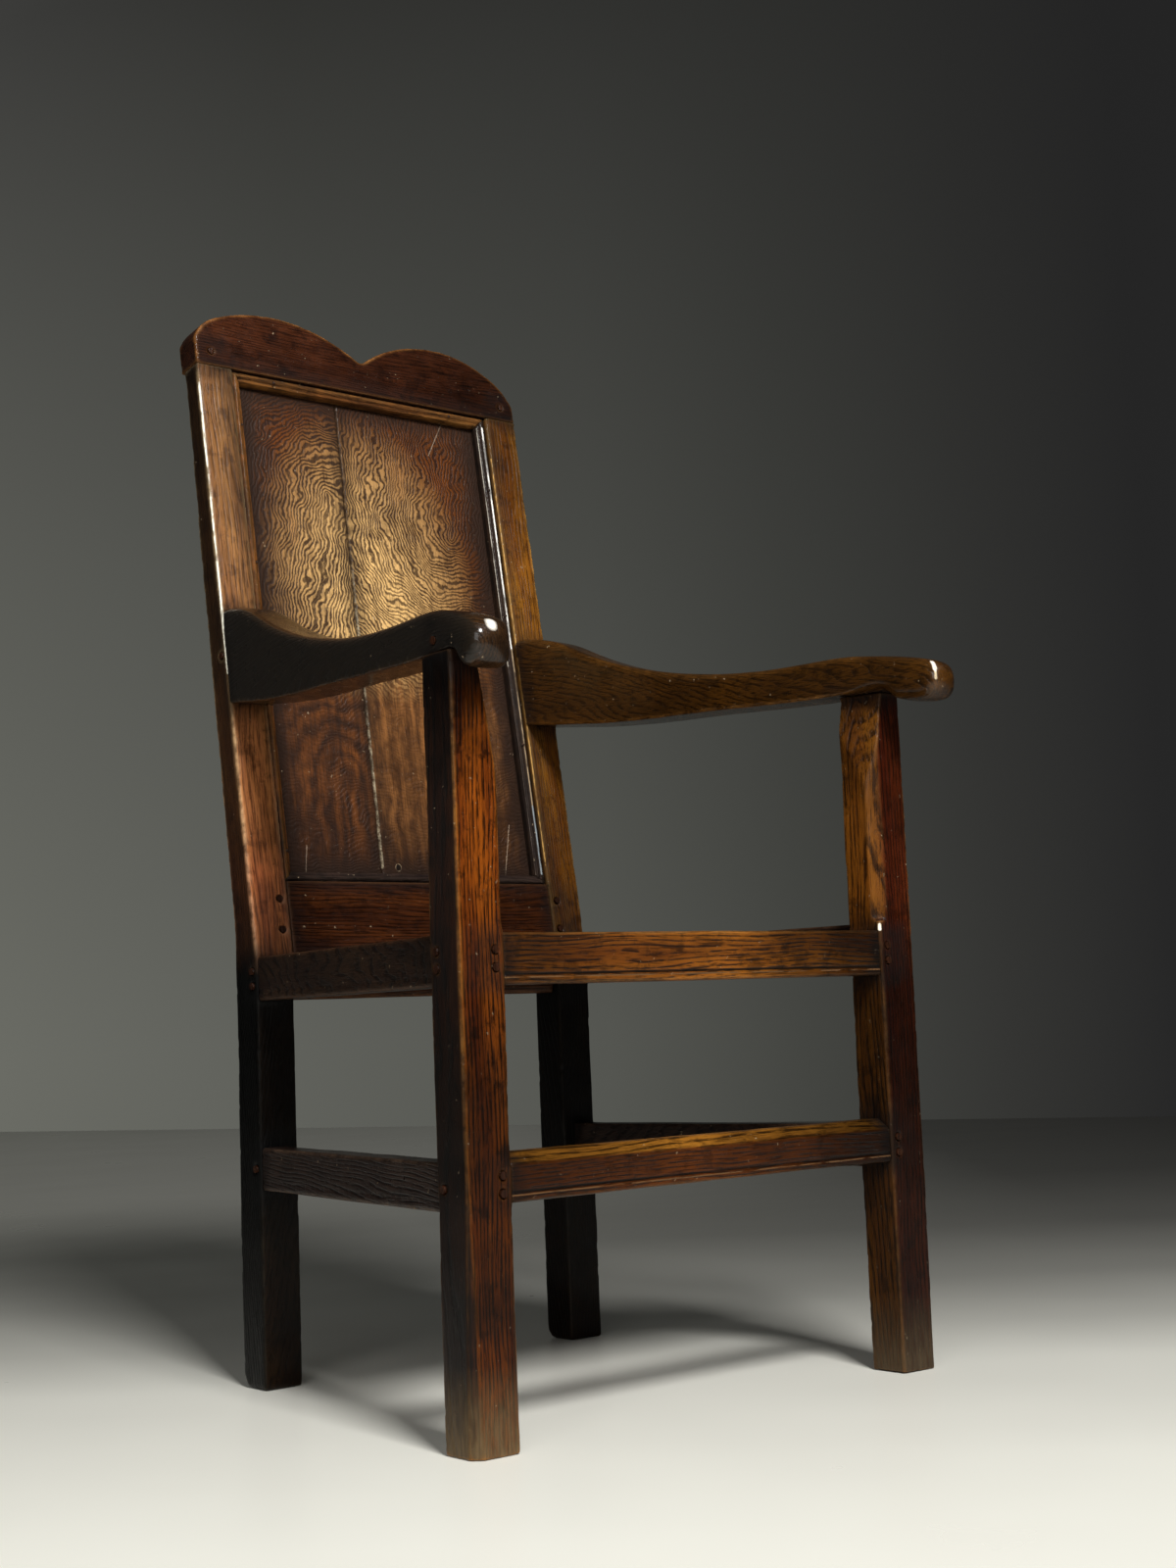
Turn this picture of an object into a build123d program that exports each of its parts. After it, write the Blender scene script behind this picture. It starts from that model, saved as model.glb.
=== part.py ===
"""Joined oak armchair with a panelled back.

Millimetres, +Z up, the seat faces -Y, and the origin is on the floor under the middle of the chair.
Every rail ends in tenons that sit in mortises and are held by oak pegs. The plan is wider at the front
than at the back, and the back leans above the seat.
"""
import os
from math import cos, radians, sin, sqrt, tan

from build123d import *

os.makedirs("parts", exist_ok=True)

# Whole chair
front_width = 564.0        # across the front legs
back_width = 436.0         # across the back stiles
frame_depth = 480.0        # front of the front legs to the back of the stiles' feet
front_y = -252.0           # front faces of the front legs
seat_height = 430.0        # tops of the front and rear seat rails
arm_height = 670.0         # undersides of the arms where they cross the front legs
crest_foot = 1078.0        # underside of the crest rail at its face
lean_rise = 2.0            # the stiles begin to lean this much above the seat rails
back_lean = 8.7            # degrees

# Front legs
leg_width = 48.0
leg_depth = 44.0
leg_arris = 2.0            # worn rounding of the upright corners
relief_start = 556.0       # height where the inner front corner starts to be planed away
relief_front = 20.0        # width planed off the front face at the arm
relief_back = 6.0          # width planed off the back face at the arm
worn_chamfer = {"left": 3.0, "right": 11.0}   # inner front corner of each leg above the seat
worn_chamfer_rise = 10.0   # foot of the chamfer above the seat rails
worn_foot = {"left": 9.0, "right": 4.0}       # outer front corner of each leg at the floor
worn_foot_height = 300.0

# Back stiles
stile_width = 45.0
stile_depth = 44.0
stile_top_depth = 28.5
stile_taper_start = 456.0  # height where the back face starts to close on the front face
heel_round = 13.0

# Crest rail, with heights above its underside
crest_depth = 36.0
crest_end_gap = 1.0        # each end stands this much inside the stile's outer face
crest_end_height = {"left": 31.0, "right": 21.0}
crest_shoulder = {"left": (189.0, 59.0), "right": (188.0, 53.0)}    # (distance from the middle, height)
crest_hump = {"left": (113.0, 74.0), "right": (108.0, 76.0)}
crest_dip_height = 40.0
crest_dip_width = 10.0
crest_dip_rise = 1.4       # middle of the dip to its rim
crest_arris = 2.2

# Lower back rail, panel and its moulding
back_rail_height = 77.5
back_rail_depth = 28.0
panel_recess = 16.5        # face of the frame to face of the panel
panel_thickness = 7.0
panel_tongue = 8.0         # how far the panel runs into its grooves
board_joint_top = -31.5    # where the two boards meet, along X
board_joint_bottom = -41.0
moulding_width = 12.0
moulding_quirk = 1.5       # flat beside the frame
moulding_quirk_depth = 5.5 # depths are measured back from the face of the frame
moulding_bead = 5.4        # width of the large bead
moulding_crown_depth = 3.0
moulding_groove_depth = 7.8
moulding_reed = 3.0        # width of the small reed
moulding_edge = 1.2        # slope beside the panel
moulding_edge_depth = 10.5

# Rails and stretchers
rail_setback = 2.0         # faces of rails behind the faces of the legs
seat_rail_height = 45.0
seat_rail_depth = 27.0
right_rail_rise = 9.0      # the right side rail stands this much higher
rear_rail_height = 41.0
rear_rail_depth = 25.0
rear_rail_inset = 8.0      # behind the front faces of the stiles
front_stretcher_top = 245.0
front_stretcher_height = 42.0
front_stretcher_depth = 30.0
stretcher_bevel_height = 9.5
stretcher_bevel_depth = 13.0
side_stretcher_top = 238.5
side_stretcher_height = 43.0
side_stretcher_depth = 27.0
bead_height = 9.0          # edge of a rail to its scratched groove
groove_radius = 1.3
rail_arris = 3.0

# Seat boards
board_thickness = 16.0
board_drop = 1.0           # below the tops of the rails
board_bearing = 11.0       # width of the rebate that carries the boards
board_gap = 0.6
board_count = 3

# Arms
arm_width = 46.0
arm_round = 8.0
hand_radius = {"left": 22.5, "right": 20.5}   # rolled front end of the arm
hand_rise = {"left": 1.5, "right": 3.5}       # centre of the roll above the arm's underside
hook_angle = {"left": -60.0, "right": -90.0}  # degrees round the roll, where the hook starts
hand_reach = {"left": 43.0, "right": 78.0}    # how far the roll stands in front of the legs
hook_root = {"left": 3.0, "right": 12.0}      # where the hook behind the roll leaves the underside
hook_heel = {"left": (5.0, 9.0), "right": (19.0, 12.0)}    # in front of the leg, below the underside
worn_hand = {"left": (22.0, 16.0), "right": (16.0, 12.0)}  # right front corner: across and along the arm
arm_rear_bottom = 698.0
arm_rear_top = 798.0
arm_flat = 60.0            # level underside behind the front of the leg
arm_overrun = 10.0         # left for the slanting cut at the stile
arm_rear_slope = 0.1       # rise of the arm's lines where they meet the stile
# Curves of the arm as (distance, height above the underside over the leg)
arm_level_front = 60.0      # the top is level between these two
arm_level_rear = 109.0
arm_level_top = 40.5
arm_top_from_stile = ((189.0, 66.5), (77.0, 108.5))
arm_under_from_stile = ((278.0, 6.0), (128.0, 12.5))

# Tenons, pegs and their fits
tenon_thickness = 9.0
tenon_shoulder = 6.0       # above and below a rail's tenon
back_tenon_shoulder = 12.0
cross_tenon = 26.0         # length of the tenons on rails that run across
side_tenon = 18.0
crest_tenon = 26.0
crest_tenon_width = 22.0
crest_tenon_inset = 9.0    # from the stile's outer face
arm_tenon_height = 58.0
arm_tenon_thickness = 13.0
arm_tenon = 20.0
leg_tenon_width = 14.0
leg_tenon_depth = 28.0
leg_tenon = 22.0
joint_fit = 0.15           # clearance round tenons, tongues and boards
peg_radius = 3.6
peg_sides = 8
peg_fit = 0.1
peg_proud = 0.6
peg_hole_depth = 28.0
peg_hole_lead = 3.0        # the bit starts this far outside the surface
peg_end_gap = 1.0
peg_from_shoulder = 10.0
peg_spacing = 15.0
back_peg_from_top = 19.0   # upper peg of the lower back rail
back_peg_spacing = 32.5
crest_peg_height = 17.0
arm_peg_height = 11.5
arm_peg_from_back = 15.0   # from the back of the front leg

# Places that follow from the sizes above
sides = {"left": -1, "right": 1}
lean_start = seat_height + lean_rise
worn_chamfer_foot = seat_height + worn_chamfer_rise
half_front = front_width / 2
half_back = back_width / 2
leg_inner = half_front - leg_width
leg_back_y = front_y + leg_depth
stile_inner = half_back - stile_width
back_y = front_y + frame_depth
stile_front_y = back_y - stile_depth
lean = radians(back_lean)
crest_rise = (crest_foot - lean_start) / cos(lean)
seat_ledge = seat_height - board_drop - board_thickness
seat_rail_middle = seat_height - seat_rail_height / 2
rear_rail_middle = seat_height - seat_rail_height + rear_rail_height / 2
side_rail_rise = {-1: 0.0, 1: right_rail_rise}
side_stretcher_middle = side_stretcher_top - side_stretcher_height / 2
stretcher_face_height = front_stretcher_height - stretcher_bevel_height
front_stretcher_middle = front_stretcher_top - front_stretcher_height + stretcher_face_height / 2
arm_rear_middle = (arm_rear_bottom + arm_rear_top) / 2
arm_under_rear = arm_rear_bottom - arm_height
arm_top_rear = arm_rear_top - arm_height
groove_reach = stile_inner + panel_tongue + joint_fit
groove_foot = back_rail_height - panel_tongue - joint_fit

# The leaning frame of the back: x across, y up the slope, z out of its face
back_face = Plane(
    origin=(0, stile_front_y, lean_start), x_dir=(1, 0, 0), z_dir=(0, -cos(lean), sin(lean))
)
front_shoulder = Plane(origin=(0, leg_back_y, 0), z_dir=(0, 1, 0))
rear_shoulder = Plane(origin=(0, stile_front_y, 0), z_dir=(0, -1, 0))


def stile_face_at(height):
    """Y of the leaning front faces of the stiles at a height."""
    return stile_front_y + (height - lean_start) * tan(lean)


def outer_x(y, rear_y=stile_front_y):
    """Half width at y between the outer front corners of the legs and the stiles' outer faces at rear_y."""
    return half_front - (half_front - half_back) * (y - front_y) / (rear_y - front_y)


def on_back(x, rise, depth=0.0):
    """A point on the leaning back: across, up the slope, and behind its face."""
    return back_face.from_local_coords(Vector(x, rise, -depth))


def cross_plane(face_y, height):
    """Section of a piece that runs across the chair: x back from its face, y up."""
    return Plane(origin=(0, face_y, height), x_dir=(0, 1, 0), z_dir=(1, 0, 0))


def side_plane(side, height, inset=rail_setback):
    """Section halfway along a side rail or stretcher: x inward from its outer face, y up."""
    front_corner = Vector(side * outer_x(leg_back_y), leg_back_y, height)
    rear_corner = Vector(side * half_back, stile_front_y, height)
    along = (rear_corner - front_corner).normalized()
    inward = Vector(0, 0, side).cross(along)
    middle = (front_corner + rear_corner) * 0.5 + inward * inset
    return Plane(origin=middle, x_dir=inward, z_dir=inward.cross(Vector(0, 0, 1)))


side_run = Vector(outer_x(leg_back_y) - half_back, stile_front_y - leg_back_y, 0).length


def bar(plane, width, height, ahead, behind, fit=0.0):
    """A rectangular tenon along a plane's normal, or with a fit, the cutter of its mortise."""
    with BuildPart() as piece:
        with BuildSketch(plane.offset(-behind - fit)):
            Rectangle(width + 2 * fit, height + 2 * fit)
        extrude(amount=ahead + behind + 2 * fit)
    return piece.part


def front_rail_bar(fit=0.0):
    face_y = front_y + rail_setback
    plane = cross_plane(face_y + (seat_rail_depth - board_bearing) / 2, seat_rail_middle)
    reach = leg_inner + cross_tenon
    return bar(plane, tenon_thickness, seat_rail_height - 2 * tenon_shoulder, reach, reach, fit)


def front_stretcher_bar(fit=0.0):
    plane = cross_plane(front_y + rail_setback + front_stretcher_depth / 2, front_stretcher_middle)
    reach = leg_inner + cross_tenon
    return bar(plane, tenon_thickness, stretcher_face_height - tenon_shoulder, reach, reach, fit)


def rear_rail_bar(fit=0.0):
    face_y = stile_front_y + rear_rail_inset
    plane = cross_plane(face_y + (rear_rail_depth + board_bearing) / 2, rear_rail_middle)
    reach = stile_inner + cross_tenon
    return bar(plane, tenon_thickness, rear_rail_height - 2 * tenon_shoulder, reach, reach, fit)


def back_rail_bar(fit=0.0):
    middle = on_back(0, back_rail_height / 2, back_rail_depth / 2)
    plane = Plane(middle, x_dir=back_face.z_dir, z_dir=(1, 0, 0))
    reach = stile_inner + cross_tenon
    return bar(plane, tenon_thickness, back_rail_height - 2 * back_tenon_shoulder, reach, reach, fit)


def side_rail_bar(side, fit=0.0):
    inset = rail_setback + (seat_rail_depth - board_bearing) / 2
    plane = side_plane(side, seat_rail_middle + side_rail_rise[side], inset)
    reach = side_run / 2 + side_tenon
    return bar(plane, tenon_thickness, seat_rail_height - 2 * tenon_shoulder, reach, reach, fit)


def side_stretcher_bar(side, fit=0.0):
    plane = side_plane(side, side_stretcher_middle, rail_setback + side_stretcher_depth / 2)
    reach = side_run / 2 + side_tenon
    return bar(plane, tenon_thickness, side_stretcher_height - 2 * tenon_shoulder, reach, reach, fit)


def crest_bar(side, fit=0.0):
    """The tenon that stands on top of a stile, inside the crest rail."""
    x = side * (half_back - crest_tenon_inset - crest_tenon_width / 2)
    plane = Plane(on_back(x, crest_rise, stile_top_depth / 2), x_dir=(1, 0, 0), z_dir=back_face.y_dir)
    return bar(plane, crest_tenon_width, tenon_thickness, crest_tenon, crest_tenon, fit)


def arm_rear_bar(side, fit=0.0):
    """The tenon at the back end of an arm, inside the stile."""
    middle = Vector(side * (half_back - stile_width / 2), stile_face_at(arm_rear_middle), arm_rear_middle)
    plane = Plane(middle, x_dir=(1, 0, 0), z_dir=(0, 1, 0))
    return bar(plane, arm_tenon_thickness, arm_tenon_height, arm_tenon, arm_tenon, fit)


def leg_top_bar(side, fit=0.0):
    """The tenon on top of a front leg, inside the arm."""
    x = side * (half_front - (leg_width - relief_front) / 2 - relief_back / 2)
    plane = Plane(origin=(x, front_y + leg_depth / 2, arm_height), z_dir=(0, 0, 1))
    return bar(plane, leg_tenon_width, leg_tenon_depth, leg_tenon, leg_tenon, fit)


def panel_groove(x, rise, across, along, ahead, behind=0.0):
    """Cutter of the groove that holds the panel's edge, along a line of the leaning back."""
    middle = on_back(x, rise, panel_recess + panel_thickness / 2)
    plane = Plane(middle, x_dir=across, z_dir=along)
    return bar(plane, 2 * (panel_tongue + joint_fit), panel_thickness + 2 * joint_fit, ahead, behind)


# Peg places: planes on the surface, facing into the wood. One bore goes through both pieces of a joint.
def stacked(x, y, direction, middle):
    """Two peg places, one above the other."""
    heights = (middle - peg_spacing / 2, middle + peg_spacing / 2)
    return [Plane(origin=(x, y, height), z_dir=direction) for height in heights]


def front_rail_pegs(side):
    x = side * (leg_inner + peg_from_shoulder)
    return stacked(x, front_y, (0, 1, 0), seat_rail_middle)


def front_stretcher_pegs(side):
    x = side * (leg_inner + peg_from_shoulder)
    return stacked(x, front_y, (0, 1, 0), front_stretcher_middle)


def side_rail_front_pegs(side):
    y = leg_back_y - peg_from_shoulder
    return stacked(side * half_front, y, (-side, 0, 0), seat_rail_middle + side_rail_rise[side])


def side_rail_rear_pegs(side):
    y = stile_front_y + peg_from_shoulder
    return stacked(side * half_back, y, (-side, 0, 0), seat_rail_middle + side_rail_rise[side])


def side_stretcher_front_pegs(side):
    y = leg_back_y - peg_from_shoulder
    return [Plane(origin=(side * half_front, y, side_stretcher_middle), z_dir=(-side, 0, 0))]


def side_stretcher_rear_pegs(side):
    y = stile_front_y + peg_from_shoulder
    return [Plane(origin=(side * half_back, y, side_stretcher_middle), z_dir=(-side, 0, 0))]


def rear_rail_pegs(side):
    x = side * (stile_inner + peg_from_shoulder)
    return [Plane(origin=(x, back_y, rear_rail_middle), z_dir=(0, -1, 0))]


def back_rail_pegs(side):
    x = side * (stile_inner + peg_from_shoulder)
    upper = back_rail_height - back_peg_from_top
    rises = (upper - back_peg_spacing, upper)
    return [Plane(on_back(x, rise), z_dir=-back_face.z_dir) for rise in rises]


def crest_pegs(side):
    x = side * (half_back - crest_tenon_inset - crest_tenon_width / 2)
    return [Plane(on_back(x, crest_rise + crest_peg_height), z_dir=-back_face.z_dir)]


def arm_front_pegs(side):
    y = leg_back_y - arm_peg_from_back
    x = outer_x(y, stile_face_at(arm_rear_middle))
    return [Plane(origin=(side * x, y, arm_height + arm_peg_height), z_dir=(-side, 0, 0))]


def arm_rear_pegs(side):
    y = stile_face_at(arm_rear_middle) + peg_from_shoulder
    return [Plane(origin=(side * half_back, y, arm_rear_middle), z_dir=(-side, 0, 0))]


def drill(planes):
    """Peg holes down the normals of their planes, eight-sided as the pegs are once driven."""
    with BuildPart() as holes:
        for plane in planes:
            with BuildSketch(plane.offset(-peg_hole_lead)):
                RegularPolygon(peg_radius + peg_fit, peg_sides)
            extrude(amount=peg_hole_lead + peg_hole_depth)
    return holes.part


# Front legs
for name, side in sides.items():
    mortises = [
        front_rail_bar(joint_fit),
        front_stretcher_bar(joint_fit),
        side_rail_bar(side, joint_fit),
        side_stretcher_bar(side, joint_fit),
    ]
    peg_holes = drill(
        front_rail_pegs(side)
        + front_stretcher_pegs(side)
        + side_rail_front_pegs(side)
        + side_stretcher_front_pegs(side)
    )
    top_tenon = leg_top_bar(side)
    arm_peg_holes = drill(arm_front_pegs(side))
    with BuildPart() as front_leg:
        with BuildSketch():
            with BuildLine():
                Polyline(
                    (side * leg_inner, front_y),
                    (side * half_front, front_y),
                    (side * half_front, leg_back_y),
                    (side * leg_inner, leg_back_y),
                    close=True,
                )
            make_face()
        extrude(amount=arm_height)
        fillet(front_leg.edges().filter_by(Axis.Z), leg_arris)
        # worn chamfer on the inner front corner above the seat
        with BuildSketch(Plane.XY.offset(worn_chamfer_foot)):
            with BuildLine():
                Polyline(
                    (side * leg_inner, front_y),
                    (side * (leg_inner + worn_chamfer[name]), front_y),
                    (side * leg_inner, front_y + worn_chamfer[name]),
                    close=True,
                )
            make_face()
        extrude(amount=arm_height - worn_chamfer_foot, mode=Mode.SUBTRACT)
        # relief planed off the inner front corner, widening up to the arm
        relief_foot = Vector(side * leg_inner, front_y, relief_start)
        relief_front_top = Vector(side * (leg_inner + relief_front), front_y, arm_height)
        relief_back_top = Vector(side * (leg_inner + relief_back), leg_back_y, arm_height)
        relief_normal = (relief_front_top - relief_foot).cross(relief_back_top - relief_foot)
        split(
            bisect_by=Plane(relief_foot, z_dir=relief_normal),
            keep=Keep.TOP if relief_normal.X * side > 0 else Keep.BOTTOM,
        )
        # outer front corner worn away towards the floor
        wear_top = Vector(side * half_front, front_y, worn_foot_height)
        wear_front = Vector(side * (half_front - worn_foot[name]), front_y, 0)
        wear_side = Vector(side * half_front, front_y + worn_foot[name], 0)
        wear_normal = (wear_front - wear_top).cross(wear_side - wear_top)
        split(
            bisect_by=Plane(wear_top, z_dir=wear_normal),
            keep=Keep.BOTTOM if wear_normal.X * side > 0 else Keep.TOP,
        )
        add(top_tenon)
        add(mortises, mode=Mode.SUBTRACT)
        add([peg_holes, arm_peg_holes], mode=Mode.SUBTRACT)
    front_leg.part.label = f"front_leg_{name}"
    export_step(front_leg.part, f"parts/front_leg_{name}.step")


# Back stiles, each one piece from the floor to the crest rail
for name, side in sides.items():
    joints = [
        side_rail_bar(side, joint_fit),
        side_stretcher_bar(side, joint_fit),
        rear_rail_bar(joint_fit),
        back_rail_bar(joint_fit),
        arm_rear_bar(side, joint_fit),
        panel_groove(side * stile_inner, groove_foot, (1, 0, 0), back_face.y_dir, crest_rise),
    ]
    peg_holes = drill(
        side_rail_rear_pegs(side)
        + side_stretcher_rear_pegs(side)
        + rear_rail_pegs(side)
        + back_rail_pegs(side)
        + arm_rear_pegs(side)
        + crest_pegs(side)
    )
    top_tenon = crest_bar(side)
    top_front = on_back(0, crest_rise)
    top_back = on_back(0, crest_rise, stile_top_depth)
    with BuildPart() as stile:
        with BuildSketch(Plane.YZ.offset(side * (half_back - stile_width / 2))):
            with BuildLine():
                Polyline(
                    (stile_front_y, 0),
                    (stile_front_y, lean_start),
                    (top_front.Y, top_front.Z),
                    (top_back.Y, top_back.Z),
                    (back_y, stile_taper_start),
                    (back_y, 0),
                    close=True,
                )
            make_face()
            heel = vertices().group_by(Axis.Y)[0].sort_by(Axis.X)[-1]
            fillet(heel, heel_round)
        extrude(amount=stile_width / 2, both=True)
        outer_face = stile.faces().sort_by(Axis.X)[-1 if side > 0 else 0]
        fillet(outer_face.edges().sort_by(Axis.Z)[:-1], leg_arris)
        add(top_tenon)
        add(joints, mode=Mode.SUBTRACT)
        add(peg_holes, mode=Mode.SUBTRACT)
    stile.part.label = f"back_stile_{name}"
    export_step(stile.part, f"parts/back_stile_{name}.step")


# Crest rail: two humps, cut by eye and not quite alike, with a dip between them
crest_end = half_back - crest_end_gap
crest_plane = Plane(on_back(0, crest_rise), x_dir=(1, 0, 0), z_dir=back_face.z_dir)
crest_halves = []
for name, side in sides.items():
    shoulder = (side * crest_shoulder[name][0], crest_shoulder[name][1])
    hump = (side * crest_hump[name][0], crest_hump[name][1])
    end_top = (side * crest_end, crest_end_height[name])
    dip_rim = (side * crest_dip_width / 2, crest_dip_height + crest_dip_rise)
    with BuildPart() as crest_half:
        with BuildSketch(crest_plane):
            with BuildLine():
                Polyline((0, crest_dip_height), (0, 0), (side * crest_end, 0), end_top)
                outer_arc = TangentArc(hump, shoulder, tangent=(side, 0))
                TangentArc(shoulder, end_top, tangent=outer_arc % 1)
                TangentArc(hump, dip_rim, tangent=(-side, 0))
                TangentArc((0, crest_dip_height), dip_rim, tangent=(side, 0))
            make_face()
        extrude(amount=-crest_depth)
        half_front_face = crest_half.faces().sort_by(Axis(back_face.origin, back_face.z_dir))[-1]
        fillet(half_front_face.edges().filter_by(GeomType.CIRCLE), crest_arris)
    crest_halves.append(crest_half.part)
crest_joints = [crest_bar(side, joint_fit) for side in sides.values()]
crest_joints.append(panel_groove(0, crest_rise, back_face.y_dir, (1, 0, 0), groove_reach, groove_reach))
crest_joints.append(drill(crest_pegs(sides["left"]) + crest_pegs(sides["right"])))
with BuildPart() as crest_rail:
    add(crest_halves)
    add(crest_joints, mode=Mode.SUBTRACT)
crest_rail.part.label = "crest_rail"
export_step(crest_rail.part, "parts/crest_rail.step")


# Lower back rail
back_rail_joints = [
    panel_groove(0, back_rail_height, back_face.y_dir, (1, 0, 0), stile_inner, stile_inner),
    drill(back_rail_pegs(sides["left"]) + back_rail_pegs(sides["right"])),
]
back_rail_tenons = back_rail_bar()
with BuildPart() as back_rail:
    with BuildSketch(Plane(back_face.origin, x_dir=-back_face.z_dir, z_dir=(1, 0, 0))):
        Rectangle(back_rail_depth, back_rail_height, align=(Align.MIN, Align.MIN))
    extrude(amount=stile_inner, both=True)
    add(back_rail_tenons)
    add(back_rail_joints, mode=Mode.SUBTRACT)
back_rail.part.label = "back_rail"
export_step(back_rail.part, "parts/back_rail.step")


# Panel: two boards that meet on a slanting joint, in the grooves of the frame
panel_edge = stile_inner + panel_tongue
panel_foot = back_rail_height - panel_tongue
panel_top = crest_rise + panel_tongue
for name, side in sides.items():
    with BuildPart() as panel_board:
        with BuildSketch(Plane(on_back(0, 0, panel_recess), x_dir=(1, 0, 0), z_dir=-back_face.z_dir)):
            with BuildLine():
                Polyline(
                    (side * panel_edge, -panel_foot),
                    (side * panel_edge, -panel_top),
                    (board_joint_top + side * joint_fit, -panel_top),
                    (board_joint_bottom + side * joint_fit, -panel_foot),
                    close=True,
                )
            make_face()
        extrude(amount=panel_thickness)
    panel_board.part.label = f"panel_board_{name}"
    export_step(panel_board.part, f"parts/panel_board_{name}.step")


# Moulding round the panel: a bead and a reed, mitred at the corners, run anticlockwise round the opening
opening_corners = [
    on_back(-stile_inner, back_rail_height),
    on_back(stile_inner, back_rail_height),
    on_back(stile_inner, crest_rise),
    on_back(-stile_inner, crest_rise),
]
bead_start = (moulding_quirk, -moulding_quirk_depth)
bead_crown = (moulding_quirk + moulding_bead / 2, -moulding_crown_depth)
bead_end = (moulding_quirk + moulding_bead, -moulding_groove_depth)
reed_start = (moulding_width - moulding_edge - moulding_reed, -moulding_groove_depth)
reed_crown = (moulding_width - moulding_edge - moulding_reed / 2, moulding_reed / 2 - moulding_groove_depth)
reed_end = (moulding_width - moulding_edge, -moulding_groove_depth)
for position, name in enumerate(["bottom", "right", "top", "left"]):
    start = opening_corners[position]
    end = opening_corners[(position + 1) % 4]
    along = (end - start).normalized()
    inward = back_face.z_dir.cross(along)
    with BuildPart() as moulding:
        with BuildSketch(Plane(start, x_dir=inward, z_dir=along)):
            with BuildLine():
                Polyline((0, -panel_recess), (0, -moulding_quirk_depth), bead_start)
                ThreePointArc(bead_start, bead_crown, bead_end)
                Line(bead_end, reed_start)
                ThreePointArc(reed_start, reed_crown, reed_end)
                Polyline(
                    reed_end,
                    (moulding_width, -moulding_edge_depth),
                    (moulding_width, -panel_recess),
                    (0, -panel_recess),
                )
            make_face()
        extrude(amount=(end - start).length)
        split(bisect_by=Plane(start, z_dir=along - inward))
        split(bisect_by=Plane(end, z_dir=-along - inward))
    moulding.part.label = f"moulding_{name}"
    export_step(moulding.part, f"parts/moulding_{name}.step")


# Seat rails: a rebate for the boards on the inner top edge, a scratched groove above the lower edge
rebate_from_face = seat_rail_depth - board_bearing
with BuildPart() as front_rail:
    with BuildSketch(cross_plane(front_y + rail_setback, seat_height)):
        with BuildLine():
            Polyline(
                (0, -seat_rail_height),
                (0, 0),
                (rebate_from_face, 0),
                (rebate_from_face, seat_ledge - seat_height),
                (seat_rail_depth, seat_ledge - seat_height),
                (seat_rail_depth, -seat_rail_height),
                close=True,
            )
        make_face()
        fillet(vertices().group_by(Axis.X)[0], rail_arris)
        with Locations((0, bead_height - seat_rail_height)):
            Circle(groove_radius, mode=Mode.SUBTRACT)
    extrude(amount=leg_inner, both=True)
    add(front_rail_bar())
    add(drill(front_rail_pegs(sides["left"]) + front_rail_pegs(sides["right"])), mode=Mode.SUBTRACT)
front_rail.part.label = "seat_rail_front"
export_step(front_rail.part, "parts/seat_rail_front.step")

with BuildPart() as rear_rail:
    with BuildSketch(cross_plane(stile_front_y + rear_rail_inset, seat_height - seat_rail_height)):
        with BuildLine():
            Polyline(
                (0, 0),
                (0, seat_ledge - seat_height + seat_rail_height),
                (board_bearing, seat_ledge - seat_height + seat_rail_height),
                (board_bearing, rear_rail_height),
                (rear_rail_depth, rear_rail_height),
                (rear_rail_depth, 0),
                close=True,
            )
        make_face()
    extrude(amount=stile_inner, both=True)
    add(rear_rail_bar())
    add(drill(rear_rail_pegs(sides["left"]) + rear_rail_pegs(sides["right"])), mode=Mode.SUBTRACT)
rear_rail.part.label = "seat_rail_rear"
export_step(rear_rail.part, "parts/seat_rail_rear.step")

for name, side in sides.items():
    rail_top = seat_height + side_rail_rise[side]
    with BuildPart() as side_rail:
        with BuildSketch(side_plane(side, rail_top)):
            with BuildLine():
                Polyline(
                    (0, -seat_rail_height),
                    (0, 0),
                    (rebate_from_face, 0),
                    (rebate_from_face, seat_ledge - rail_top),
                    (seat_rail_depth, seat_ledge - rail_top),
                    (seat_rail_depth, -seat_rail_height),
                    close=True,
                )
            make_face()
            fillet(vertices().group_by(Axis.X)[0], rail_arris)
            with Locations((0, bead_height - seat_rail_height)):
                Circle(groove_radius, mode=Mode.SUBTRACT)
        extrude(amount=side_run / 2 + seat_rail_depth, both=True)
        split(bisect_by=front_shoulder)
        split(bisect_by=rear_shoulder)
        add(side_rail_bar(side))
        add(drill(side_rail_front_pegs(side) + side_rail_rear_pegs(side)), mode=Mode.SUBTRACT)
    side_rail.part.label = f"seat_rail_{name}"
    export_step(side_rail.part, f"parts/seat_rail_{name}.step")


# Stretchers: the front one is bevelled along its top edge, the side ones are beaded on both edges
with BuildPart() as front_stretcher:
    with BuildSketch(cross_plane(front_y + rail_setback, front_stretcher_top - front_stretcher_height)):
        with BuildLine():
            Polyline(
                (0, 0),
                (0, stretcher_face_height),
                (stretcher_bevel_depth, front_stretcher_height),
                (front_stretcher_depth, front_stretcher_height),
                (front_stretcher_depth, 0),
                close=True,
            )
        make_face()
        fillet(vertices().group_by(Axis.X)[0], rail_arris)
        with Locations((0, bead_height)):
            Circle(groove_radius, mode=Mode.SUBTRACT)
    extrude(amount=leg_inner, both=True)
    add(front_stretcher_bar())
    add(drill(front_stretcher_pegs(sides["left"]) + front_stretcher_pegs(sides["right"])), mode=Mode.SUBTRACT)
front_stretcher.part.label = "stretcher_front"
export_step(front_stretcher.part, "parts/stretcher_front.step")

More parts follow.
